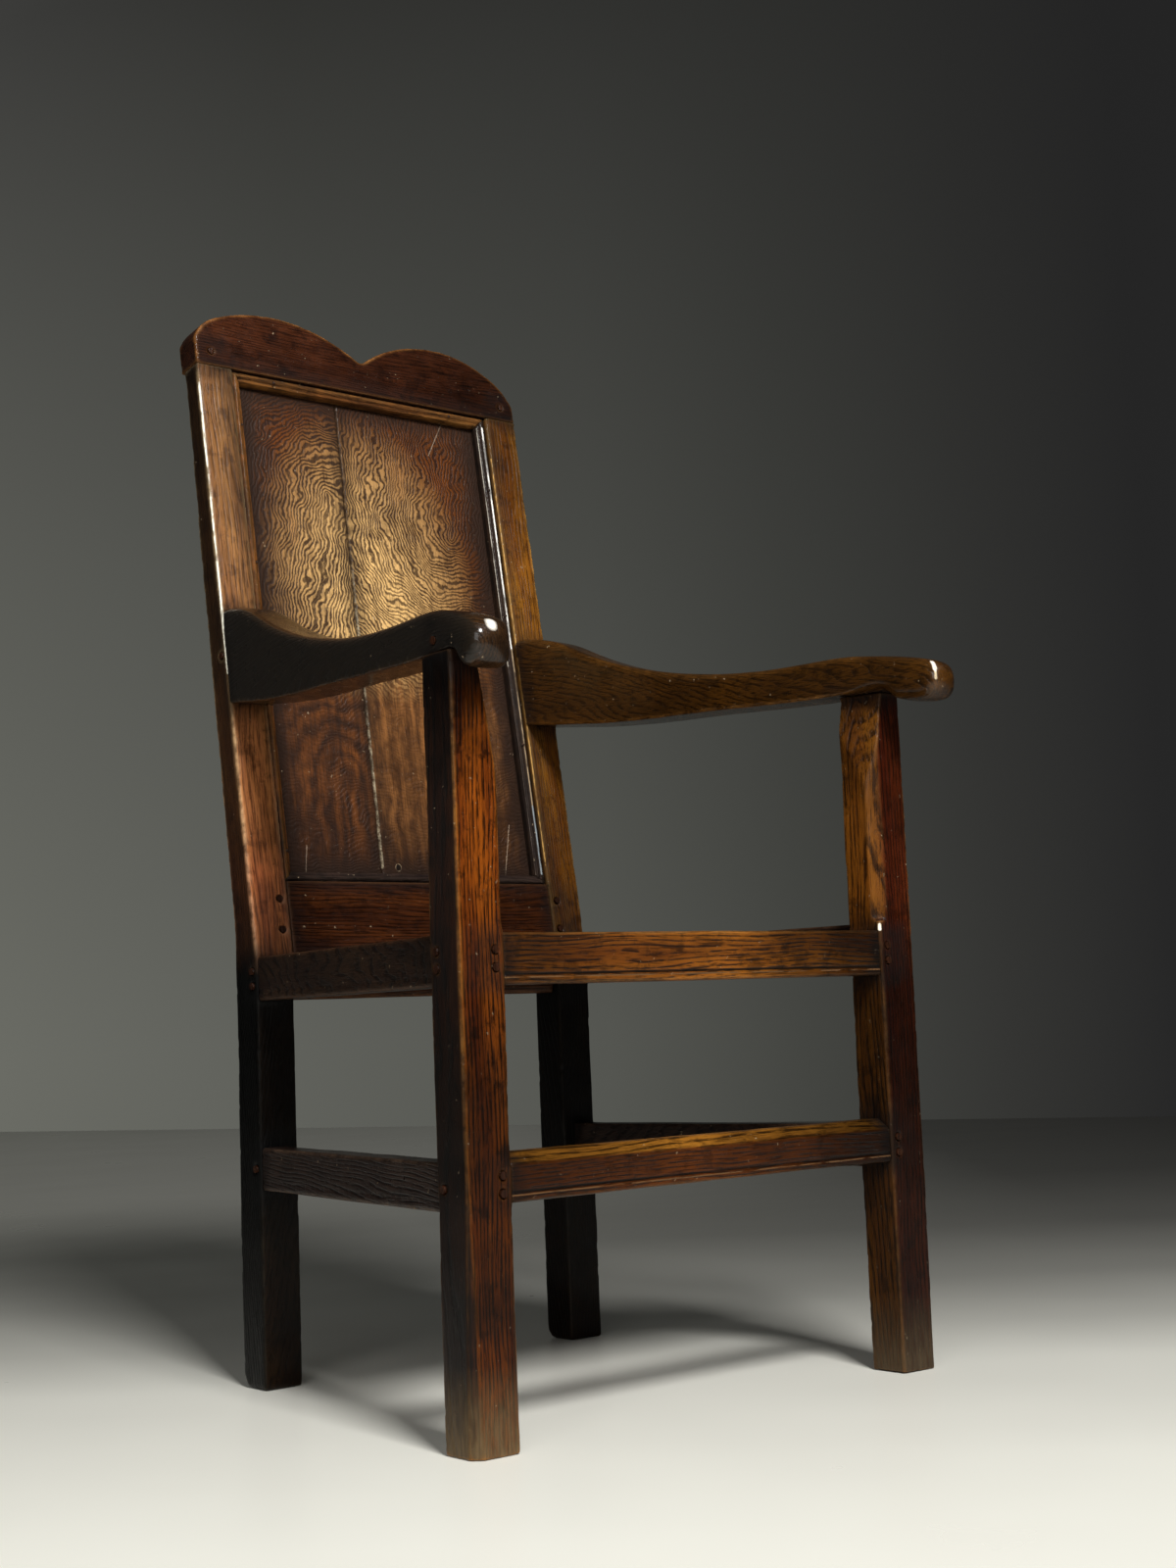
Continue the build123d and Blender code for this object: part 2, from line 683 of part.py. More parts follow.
for name, side in sides.items():
    with BuildPart() as side_stretcher:
        with BuildSketch(side_plane(side, side_stretcher_top - side_stretcher_height)):
            Rectangle(side_stretcher_depth, side_stretcher_height, align=(Align.MIN, Align.MIN))
            fillet(vertices().group_by(Axis.X)[0], rail_arris)
            with Locations((0, bead_height), (0, side_stretcher_height - bead_height)):
                Circle(groove_radius, mode=Mode.SUBTRACT)
        extrude(amount=side_run / 2 + side_stretcher_depth, both=True)
        split(bisect_by=front_shoulder)
        split(bisect_by=rear_shoulder)
        add(side_stretcher_bar(side))
        add(drill(side_stretcher_front_pegs(side) + side_stretcher_rear_pegs(side)), mode=Mode.SUBTRACT)
    side_stretcher.part.label = f"stretcher_{name}"
    export_step(side_stretcher.part, f"parts/stretcher_{name}.step")


# Seat boards: side to side in the rebates of the four rails, notched round the legs and stiles
boards_front = front_y + rail_setback + rebate_from_face + board_gap
boards_rear = stile_front_y + rear_rail_inset + board_bearing - board_gap
board_pitch = (boards_rear - boards_front + board_gap) / board_count
side_slant = (half_front - half_back) / (stile_front_y - front_y)
board_end_inset = (rail_setback + rebate_from_face + board_gap) * sqrt(1 + side_slant**2)
for number in range(board_count):
    board_front = boards_front + number * board_pitch
    board_rear = board_front + board_pitch - board_gap
    with BuildPart() as seat_board:
        with BuildSketch(Plane.XY.offset(seat_ledge)):
            with BuildLine():
                Polyline(
                    (board_end_inset - outer_x(board_front), board_front),
                    (outer_x(board_front) - board_end_inset, board_front),
                    (outer_x(board_rear) - board_end_inset, board_rear),
                    (board_end_inset - outer_x(board_rear), board_rear),
                    close=True,
                )
            make_face()
            # corners cut away for the legs
            with Locations((leg_inner - board_gap, leg_back_y + board_gap)):
                Rectangle(leg_width, leg_depth, align=(Align.MIN, Align.MAX), mode=Mode.SUBTRACT)
            with Locations((board_gap - leg_inner, leg_back_y + board_gap)):
                Rectangle(leg_width, leg_depth, align=(Align.MAX, Align.MAX), mode=Mode.SUBTRACT)
            # corners cut away for the stiles
            with Locations((stile_inner - board_gap, stile_front_y - board_gap)):
                Rectangle(stile_width, stile_depth, align=(Align.MIN, Align.MIN), mode=Mode.SUBTRACT)
            with Locations((board_gap - stile_inner, stile_front_y - board_gap)):
                Rectangle(stile_width, stile_depth, align=(Align.MAX, Align.MIN), mode=Mode.SUBTRACT)
        extrude(amount=board_thickness)
    seat_board.part.label = f"seat_board_{number + 1}"
    export_step(seat_board.part, f"parts/seat_board_{number + 1}.step")


# Arms: a swept profile with a rolled hand in front, cut square to the stile behind
arm_slant = Vector(half_back - half_front, stile_face_at(arm_rear_middle) - front_y, 0)
arm_length = Vector(half_back - half_front, stile_face_at(arm_rear_top) - front_y, 0).length
arm_end = arm_length + arm_overrun
for name, side in sides.items():
    arm_along = Vector(arm_slant.X * side, arm_slant.Y, 0).normalized()
    arm_corner = Vector(side * half_front, front_y, arm_height)
    arm_plane = Plane(arm_corner, x_dir=arm_along, z_dir=arm_along.cross(Vector(0, 0, 1)))
    roll_radius = Vector(hand_radius[name], 0)
    roll_middle = roll_radius + Vector(-hand_reach[name], hand_rise[name])
    crown_rise = arm_level_top - roll_middle.Y
    crown_square = (arm_level_front - roll_middle.X)**2 + crown_rise**2 - hand_radius[name]**2
    crown_radius = crown_square / (2 * (crown_rise - hand_radius[name]))
    crown_middle = Vector(arm_level_front, arm_level_top - crown_radius)
    roll_top = roll_middle + (roll_middle - crown_middle).normalized() * hand_radius[name]
    roll_foot = roll_middle + roll_radius.rotate(Axis.Z, hook_angle[name])
    heel = (-hook_heel[name][0], -hook_heel[name][1])
    top_points = [(arm_length - distance, height) for distance, height in arm_top_from_stile]
    top_points.append((arm_end, arm_top_rear))
    under_points = [(arm_flat, 0)]
    under_points += [(arm_length - distance, height) for distance, height in arm_under_from_stile]
    under_points.append((arm_end, arm_under_rear))
    arm_joints = [leg_top_bar(side, joint_fit), drill(arm_front_pegs(side) + arm_rear_pegs(side))]
    with BuildPart() as arm:
        with BuildSketch(arm_plane):
            with BuildLine():
                Polyline((arm_flat, 0), (-hook_root[name], 0), heel, roll_foot)
                ThreePointArc(roll_foot, roll_middle - roll_radius, roll_top)
                # the crown touches both the roll and the level top
                TangentArc((arm_level_front, arm_level_top), roll_top, tangent=(-1, 0))
                top_line = Line((arm_level_front, arm_level_top), (arm_level_rear, arm_level_top))
                for point in top_points:
                    top_line = TangentArc(top_line @ 1, point, tangent=top_line % 1)
                Line((arm_end, arm_top_rear), (arm_end, arm_under_rear))
                Spline(under_points, tangents=[(1, 0), (1, arm_rear_slope)])
            make_face()
        extrude(amount=-side * arm_width)
        split(bisect_by=back_face)
        upper_edges = arm.edges().filter_by(GeomType.CIRCLE)
        fillet(upper_edges, arm_round)
        # right front corner of the hand worn away
        right_face = arm_width if side < 0 else 0
        wear_front = arm_plane.from_local_coords((-hand_reach[name], 0, right_face - worn_hand[name][0]))
        wear_side = arm_plane.from_local_coords((worn_hand[name][1] - hand_reach[name], 0, right_face))
        wear_normal = (wear_side - wear_front).cross(Vector(0, 0, 1))
        split(bisect_by=Plane(wear_front, z_dir=wear_normal), keep=Keep.BOTTOM)
        add(arm_rear_bar(side))
        add(arm_joints, mode=Mode.SUBTRACT)
    arm.part.label = f"arm_{name}"
    export_step(arm.part, f"parts/arm_{name}.step")


# Pegs: eight-sided, each left a little proud
for name, side in sides.items():
    peg_places = {
        "front_rail": front_rail_pegs(side),
        "front_stretcher": front_stretcher_pegs(side),
        "side_rail_front": side_rail_front_pegs(side),
        "side_rail_rear": side_rail_rear_pegs(side),
        "side_stretcher_front": side_stretcher_front_pegs(side),
        "side_stretcher_rear": side_stretcher_rear_pegs(side),
        "rear_rail": rear_rail_pegs(side),
        "back_rail": back_rail_pegs(side),
        "crest": crest_pegs(side),
        "arm_front": arm_front_pegs(side),
        "arm_rear": arm_rear_pegs(side),
    }
    for joint, planes in peg_places.items():
        for number, plane in enumerate(planes):
            with BuildPart() as peg:
                with BuildSketch(plane.offset(-peg_proud)):
                    RegularPolygon(peg_radius, peg_sides)
                extrude(amount=peg_proud + peg_hole_depth - peg_end_gap)
            peg.part.label = f"peg_{joint}_{name}_{number + 1}"
            export_step(peg.part, f"parts/peg_{joint}_{name}_{number + 1}.step")
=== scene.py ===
"""Worn surfaces, old oak finishes, nails, stage and light for the joined oak armchair with a panelled back.

Metres, +Z up, the seat faces -Y. Every length of wood is remeshed from its CAD solid, then worn down at its
arrises, and keeps its place. The pegs stay as they come from CAD.
"""

from functools import partial
from math import cos, pi, radians, sin

import bmesh
import bpy
import numpy as np
from mathutils import Matrix, Vector
from mathutils.bvhtree import BVHTree


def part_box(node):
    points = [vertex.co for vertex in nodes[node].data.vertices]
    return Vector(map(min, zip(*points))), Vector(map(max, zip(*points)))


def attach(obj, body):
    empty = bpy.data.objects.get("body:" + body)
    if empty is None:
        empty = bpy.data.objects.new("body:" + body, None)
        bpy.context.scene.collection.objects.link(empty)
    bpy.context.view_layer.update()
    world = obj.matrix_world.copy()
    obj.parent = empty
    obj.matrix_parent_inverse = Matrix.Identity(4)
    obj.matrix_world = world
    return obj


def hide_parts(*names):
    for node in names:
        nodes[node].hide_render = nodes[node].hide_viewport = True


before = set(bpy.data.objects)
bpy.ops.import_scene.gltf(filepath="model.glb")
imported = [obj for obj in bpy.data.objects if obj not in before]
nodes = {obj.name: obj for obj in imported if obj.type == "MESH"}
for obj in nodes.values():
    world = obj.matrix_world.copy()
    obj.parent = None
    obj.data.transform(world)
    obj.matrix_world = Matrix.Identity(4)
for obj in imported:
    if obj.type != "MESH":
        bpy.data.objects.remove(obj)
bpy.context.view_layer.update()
boxes = {name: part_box(name) for name in nodes}
collection = bpy.context.scene.collection

back_lean = radians(8.7)
back_foot = Vector((0.0, 0.184, 0.432))     # where the face of the back starts to lean
back_up = Vector((0.0, sin(back_lean), cos(back_lean)))
back_in = Vector((0.0, cos(back_lean), -sin(back_lean)))


# ---------------------------------------------------------------- small tools

def linear(code):
    """A linear RGBA colour from an sRGB hex code."""
    parts = [int(code[i:i + 2], 16) / 255 for i in (1, 3, 5)]
    return tuple(c / 12.92 if c <= 0.04045 else ((c + 0.055) / 1.055) ** 2.4 for c in parts) + (1.0,)


def fill(node, inputs):
    """Sets a node's inputs, named, or in a row in the node's own order.

    Each is a value, a hex colour, an output socket or a whole node, which gives its first output in use.
    """
    for key, value in inputs.items() if isinstance(inputs, dict) else enumerate(inputs):
        if isinstance(value, bpy.types.Node):
            value = next(output for output in value.outputs if output.enabled)
        if isinstance(value, bpy.types.NodeSocket):
            node.id_data.links.new(value, node.inputs[key])
        else:
            node.inputs[key].default_value = linear(value) if isinstance(value, str) else value


def add(tree, kind, inputs=(), stops=(), **settings):
    """Adds one node with its settings, its inputs and the stops of its colour ramp: greys or hex colours.

    A Map Range's row of inputs is the value, the two ends it is read between, and what it gives at each.
    """
    node = tree.nodes.new(kind)
    for key, value in settings.items():
        setattr(node, key, value)
    if stops:
        gradient = node.color_ramp
        while len(gradient.elements) < len(stops):
            gradient.elements.new(0.5)
        for element, (place, colour) in zip(gradient.elements, stops):
            element.position = place
            element.color = linear(colour) if isinstance(colour, str) else (colour, colour, colour, 1.0)
    fill(node, inputs)
    return node


def new_material(name):
    """An empty Principled material: its tree, its shader and itself."""
    material = bpy.data.materials.new(name)
    material.use_nodes = True
    return material, material.node_tree, material.node_tree.nodes["Principled BSDF"]


noise_cells = 4096      # a power of 2


def value_noise(points, wavelength, seed):
    """Smooth noise from -1 to 1 at points, with the same result on each run."""
    table = np.random.default_rng(seed).random(noise_cells) * 2 - 1
    cell = points / wavelength + 64.0       # which keeps the cells' numbers above 0
    low = np.floor(cell).astype(np.int64)
    part = cell - low
    part = part * part * (3 - 2 * part)
    total = np.zeros(len(points))
    for dx in (0, 1):
        for dy in (0, 1):
            for dz in (0, 1):
                # large primes spread the cells over the table
                index = (
                    ((low[:, 0] + dx) * 73856093)
                    ^ ((low[:, 1] + dy) * 19349663)
                    ^ ((low[:, 2] + dz) * 83492791)
                )
                weight = (
                    (part[:, 0] if dx else 1 - part[:, 0])
                    * (part[:, 1] if dy else 1 - part[:, 1])
                    * (part[:, 2] if dz else 1 - part[:, 2])
                )
                total += table[index & (noise_cells - 1)] * weight
    return total


def ramp(values, low, high):
    """Smooth step from 0 at low to 1 at high."""
    t = np.clip((values - low) / (high - low), 0, 1)
    return t * t * (3 - 2 * t)


# ---------------------------------------------------------------- worn wood

merge_distance = 0.00002
near_reach = 0.03                       # how far other wood is looked for
tight, clear = 0.0008, 0.006            # gap to other wood where wear starts and where it is full
relax = 0.62                            # share of the way to its neighbours' mean that one pass moves a point
hand_start, hand_full = 0.222, 0.262    # distance in front of the middle where an arm turns into its hand
hand_passes = 90
blunt_reach, blunt_relax = 0.028, 0.7   # passes times voxel, and share of the way, of the blunter copy
full_bend = 0.002                       # how far the blunter copy draws in at a square arris


def neighbours_of(mesh):
    """Each vertex's neighbours in one sorted list, the place where its own start in it, and their number."""
    pairs = np.empty(len(mesh.edges) * 2, np.int32)
    mesh.edges.foreach_get("vertices", pairs)
    pairs = pairs.reshape(-1, 2)
    ends = np.concatenate([pairs, pairs[:, ::-1]])
    ends = ends[np.argsort(ends[:, 0], kind="stable")]
    count = np.bincount(ends[:, 0], minlength=len(mesh.vertices))
    starts = np.concatenate([[0], np.cumsum(count)[:-1]])
    return ends[:, 1], starts, count


def mean_of_neighbours(values, links):
    """The mean of the values at each vertex's neighbours."""
    others, starts, count = links
    return np.add.reduceat(values[others], starts) / count[:, None]


def distance_to_others(name, points, reach):
    """Distance from each point to the nearest other length of wood, up to reach."""
    verts, faces = [], []
    own_low, own_high = boxes[name]
    for other, node in nodes.items():
        low, high = boxes[other]
        apart = any(low[i] > own_high[i] + reach or high[i] < own_low[i] - reach for i in range(3))
        if other == name or other.startswith("peg_") or apart:
            continue
        base = len(verts)
        verts += [v.co.copy() for v in node.data.vertices]
        faces += [[base + i for i in p.vertices] for p in node.data.polygons]
    tree = BVHTree.FromPolygons(verts, faces)
    found = np.full(len(points), reach)
    for i, point in enumerate(points):
        hit = tree.find_nearest(Vector(point), reach)
        if hit[3] is not None:
            found[i] = hit[3]
    return found


def worn_piece(name, voxel, passes, hollow_depth, seed):
    """A closed, worn copy of a CAD piece: soft uneven arrises, chips, slight hollows, tight joints."""
    mesh = nodes[name].data.copy()
    edit = bmesh.new()
    edit.from_mesh(mesh)
    bmesh.ops.remove_doubles(edit, verts=edit.verts, dist=merge_distance)
    edit.to_mesh(mesh)
    edit.free()
    piece = bpy.data.objects.new(name + "_worn", mesh)
    collection.objects.link(piece)
    remesh = piece.modifiers.new("remesh", "REMESH")
    remesh.mode = "VOXEL"
    remesh.voxel_size = voxel
    solid = bpy.data.meshes.new_from_object(piece.evaluated_get(bpy.context.evaluated_depsgraph_get()))
    piece.modifiers.remove(remesh)
    piece.data = solid
    solid.name = name + "_worn"
    count = len(solid.vertices)
    points = np.empty(count * 3)
    solid.vertices.foreach_get("co", points)
    points = points.reshape(-1, 3)
    links = neighbours_of(solid)
    near = distance_to_others(name, points, near_reach)
    free = 0.1 + 0.9 * ramp(near, tight, clear)
    # wear that differs from place to place, over 45 mm and 14 mm
    uneven = 0.62 + 0.38 * value_noise(points, 0.045, seed) + 0.25 * value_noise(points, 0.014, seed + 1)
    weight = (np.clip(uneven, 0.08, 1.0) * free)[:, None]
    for step in range(passes):
        pull = mean_of_neighbours(points, links) - points
        # the first two steps also take the voxels' own steps away
        points = points + pull * (weight if step > 1 else np.maximum(weight, 0.5)) * relax
    if name.startswith("arm_"):
        # the hands, worn round by use
        held = (ramp(-points[:, 1], hand_start, hand_full) * np.maximum(free, 0.25))[:, None]
        for step in range(hand_passes):
            points = points + (mean_of_neighbours(points, links) - points) * held * relax
    solid.vertices.foreach_set("co", points.reshape(-1))
    solid.update()
    normals = np.empty(count * 3)
    solid.vertex_normals.foreach_get("vector", normals)
    normals = normals.reshape(-1, 3)
    # how far a blunter copy draws in: above 0 on arrises, under 0 in corners
    blunt = points
    for step in range(round(blunt_reach / voxel)):
        blunt = blunt + (mean_of_neighbours(blunt, links) - blunt) * blunt_relax
    bend = ((points - blunt) * normals).sum(1) / full_bend
    arris = ramp(bend, 0.12, 0.9)
    # shallow hollows 110 mm and 30 mm long, and chips of 9 mm along the arrises
    slow, quick = value_noise(points, 0.11, seed + 2), value_noise(points, 0.03, seed + 3)
    hollow = hollow_depth * (0.5 * slow + 0.3 * quick - 0.45)
    chip = -0.9 * hollow_depth * arris * ramp(value_noise(points, 0.009, seed + 4), 0.25, 0.6)
    points = points + normals * ((np.minimum(hollow, 0) + chip) * free)[:, None]
    solid.vertices.foreach_set("co", points.reshape(-1))
    for label, values in (("arris", arris), ("corner", ramp(-bend, 0.1, 0.7)), ("near", 1 - near / near_reach)):
        solid.attributes.new(label, "FLOAT", "POINT").data.foreach_set("value", values.astype(np.float32))
    solid.shade_smooth()
    solid.update()
    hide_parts(name)
    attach(piece, "root")
    return piece


# voxel size in metres, smoothing passes, depth of the hollows in metres
wear_plan = {
    "front_leg_left": (0.0015, 12, 0.0012),
    "front_leg_right": (0.0015, 12, 0.0012),
    "back_stile_left": (0.0019, 7, 0.0008),
    "back_stile_right": (0.0019, 7, 0.0008),
    "arm_left": (0.0016, 8, 0.0006),
    "arm_right": (0.0016, 8, 0.0006),
    "crest_rail": (0.0015, 5, 0.0006),
    "back_rail": (0.0020, 4, 0.0005),
    "seat_rail_front": (0.0011, 2, 0.0006),
    "seat_rail_left": (0.0015, 3, 0.0006),
    "seat_rail_right": (0.0015, 3, 0.0006),
    "seat_rail_rear": (0.0022, 4, 0.0005),
    "stretcher_front": (0.0011, 3, 0.0008),
    "stretcher_left": (0.0016, 4, 0.0008),
    "stretcher_right": (0.0016, 4, 0.0008),
    "panel_board_left": (0.0021, 3, 0.0003),
    "panel_board_right": (0.0021, 3, 0.0003),
    "seat_board_1": (0.0027, 4, 0.0006),
    "seat_board_2": (0.0027, 4, 0.0006),
    "seat_board_3": (0.0027, 4, 0.0006),
    "moulding_top": (0.0009, 3, 0.0002),
    "moulding_bottom": (0.0009, 3, 0.0002),
    "moulding_left": (0.0009, 3, 0.0002),
    "moulding_right": (0.0009, 3, 0.0002),
}
pieces = {}
for number, (name, (voxel, passes, hollow_depth)) in enumerate(wear_plan.items()):
    pieces[name] = worn_piece(name, voxel, passes, hollow_depth, seed=11 * number + 3)


# ---------------------------------------------------------------- patterns in wood

ring_wave = 0.314       # metres between the rings of a Wave texture whose scale is 1
fade_wander = 0.12      # metres by which blotches move the edge of a fade


def noise_along(tree, place, width, length, detail=3.0, roughness=0.6):
    """Noise stretched along Z: a feature is about that many metres across and long."""
    scaled = add(tree, "ShaderNodeMapping", {"Vector": place, "Scale": (1 / width, 1 / width, 1 / length)})
    inputs = {"Vector": scaled, "Scale": 1.0, "Detail": detail, "Roughness": roughness}
    return add(tree, "ShaderNodeTexNoise", inputs)


def coated(tree, tone, *coats):
    """Coats of colour laid over a tone, one after another. Each is a colour and the factors of its cover."""
    for colour, cover, *factors in coats:
        for factor in factors:
            cover = add(tree, "ShaderNodeMath", (cover, factor), operation="MULTIPLY")
        tone = add(tree, "ShaderNodeMix", {"Factor": cover, "A": tone, "B": colour}, data_type="RGBA")
    return tone


def facing(tree, direction, most=1.0):
    """most on faces that look that way, down to 0 on faces turned some 65 degrees away from it."""
    normal = add(tree, "ShaderNodeTexCoord").outputs["Normal"]
    value = add(tree, "ShaderNodeVectorMath", (normal, direction), operation="DOT_PRODUCT")
    return add(tree, "ShaderNodeMapRange", (value, 0.4, 0.75, 0.0, most))


def stadium(tree, place, foot, head):
    """Distance in metres from the straight line between two points."""
    node = partial(add, tree)
    foot, head = Vector(foot), Vector(head)
    offset = node("ShaderNodeVectorMath", (place, foot), operation="SUBTRACT")
    run = node("ShaderNodeVectorMath", (offset, head - foot), operation="DOT_PRODUCT")
    part = node("ShaderNodeMapRange", (run, 0.0, (head - foot).length_squared))
    nearest = node("ShaderNodeMix", {"Factor": part, "A": foot, "B": head}, data_type="VECTOR")
    return node("ShaderNodeVectorMath", (place, nearest), operation="DISTANCE")


def streaked(tree, place, tone, streaks, breaks):
    """Thin lines laid over the tone: painted highlights and glints on arrises, beads and hands, and dirt and
    painted shade in grooves.

    Each is its two ends, half its width, its colour and, where it isn't to break up, the least that it shows.
    """
    for foot, head, width, colour, *least in streaks:
        thin = add(tree, "ShaderNodeMapRange", (stadium(tree, place, foot, head), width, width * 0.5))
        whole = add(tree, "ShaderNodeMapRange", (breaks, 0.38, 0.52, *(least or [0.2]), 1.0))
        tone = coated(tree, tone, (colour, thin, whole))
    return tone


def figure(tree, place, foot, head, pitch, unsteady, low, high):
    """Dark lines of a flat-sawn board that run round a heart, from 0 to 1."""
    node = partial(add, tree)
    turns = node("ShaderNodeMath", (stadium(tree, place, foot, head), 2 * pi / pitch), operation="MULTIPLY")
    wave = node("ShaderNodeMath", (turns,), operation="SINE")
    wave = node("ShaderNodeMath", (unsteady, 1.6, wave), operation="MULTIPLY_ADD")
    return node("ShaderNodeMapRange", (wave, 0.8 + low, 0.8 + high))


# ---------------------------------------------------------------- finishes

def finish_wood(
    tree, shader, place, colour, relief, rubbed, rough, dirt="#0b0605", chips=0.8, dim=None, polish=0.06,
    streaks=(), breaks=None,
):
    """Wear that all the wood shares: rubbed arrises, dark wax in corners and joints, pale chips, uneven gloss.

    relief is high where the wood is cut in, rough is the middle of the gloss, chips is how much the chips show,
    dim multiplies the colour by the fade's dirt and painted shade, polish is the hard wax on top, streaks are
    the painted highlights, glints and groove shade laid on top, and breaks is what breaks up the streaks.
    """
    node = partial(add, tree)
    # wax and dirt in patches of about 15 mm, and specks of about 5 mm
    grime = node("ShaderNodeTexNoise", {"Vector": place, "Scale": 60.0, "Detail": 5.0, "Roughness": 0.65})
    specks = node("ShaderNodeTexNoise", {"Vector": place, "Scale": 210.0, "Detail": 2.0, "Roughness": 0.5})
    arris, corner, near = (
        node("ShaderNodeAttribute", attribute_name=label).outputs["Fac"]
        for label in ("arris", "corner", "near")
    )
    patchy = node("ShaderNodeMapRange", (grime, 0.38, 0.6, 0.2, 1.0))
    by_joint = node("ShaderNodeMapRange", (near, 0.3, 1.0, 0.0, 0.9))
    contact = node("ShaderNodeMath", (corner, by_joint), operation="MAXIMUM")
    caked = node("ShaderNodeMapRange", (grime, 0.3, 0.62, 0.45, 1.0))
    # small chips and spots of old paint, 1 to 3 mm
    chip = node("ShaderNodeMapRange", (specks, 0.70, 0.735))
    scattered = node("ShaderNodeMapRange", (grime, 0.5, 0.62, 0.0, chips))
    colour = coated(
        tree, colour, (rubbed, arris, patchy, 0.8), (dirt, contact, caked), ("#b09a7c", chip, scattered),
    )
    if dim:
        inputs = {"Factor": 1.0, "A": colour, "B": dim}
        colour = node("ShaderNodeMix", inputs, data_type="RGBA", blend_type="MULTIPLY")
    colour = streaked(tree, place, colour, streaks, breaks)
    gloss = node("ShaderNodeMapRange", (grime, 0.3, 0.7, rough - 0.06, rough + 0.1))
    gloss = node("ShaderNodeMath", (contact, 0.4, gloss), operation="MULTIPLY_ADD", use_clamp=True)
    bump = node("ShaderNodeBump", {"Height": relief, "Strength": 0.6, "Distance": 0.0009}, invert=True)
    fill(shader, {
        "Base Color": colour, "Roughness": gloss, "Normal": bump, "IOR": 1.5, "Specular IOR Level": 0.1,
        "Coat Weight": polish, "Coat Roughness": 0.11,
    })


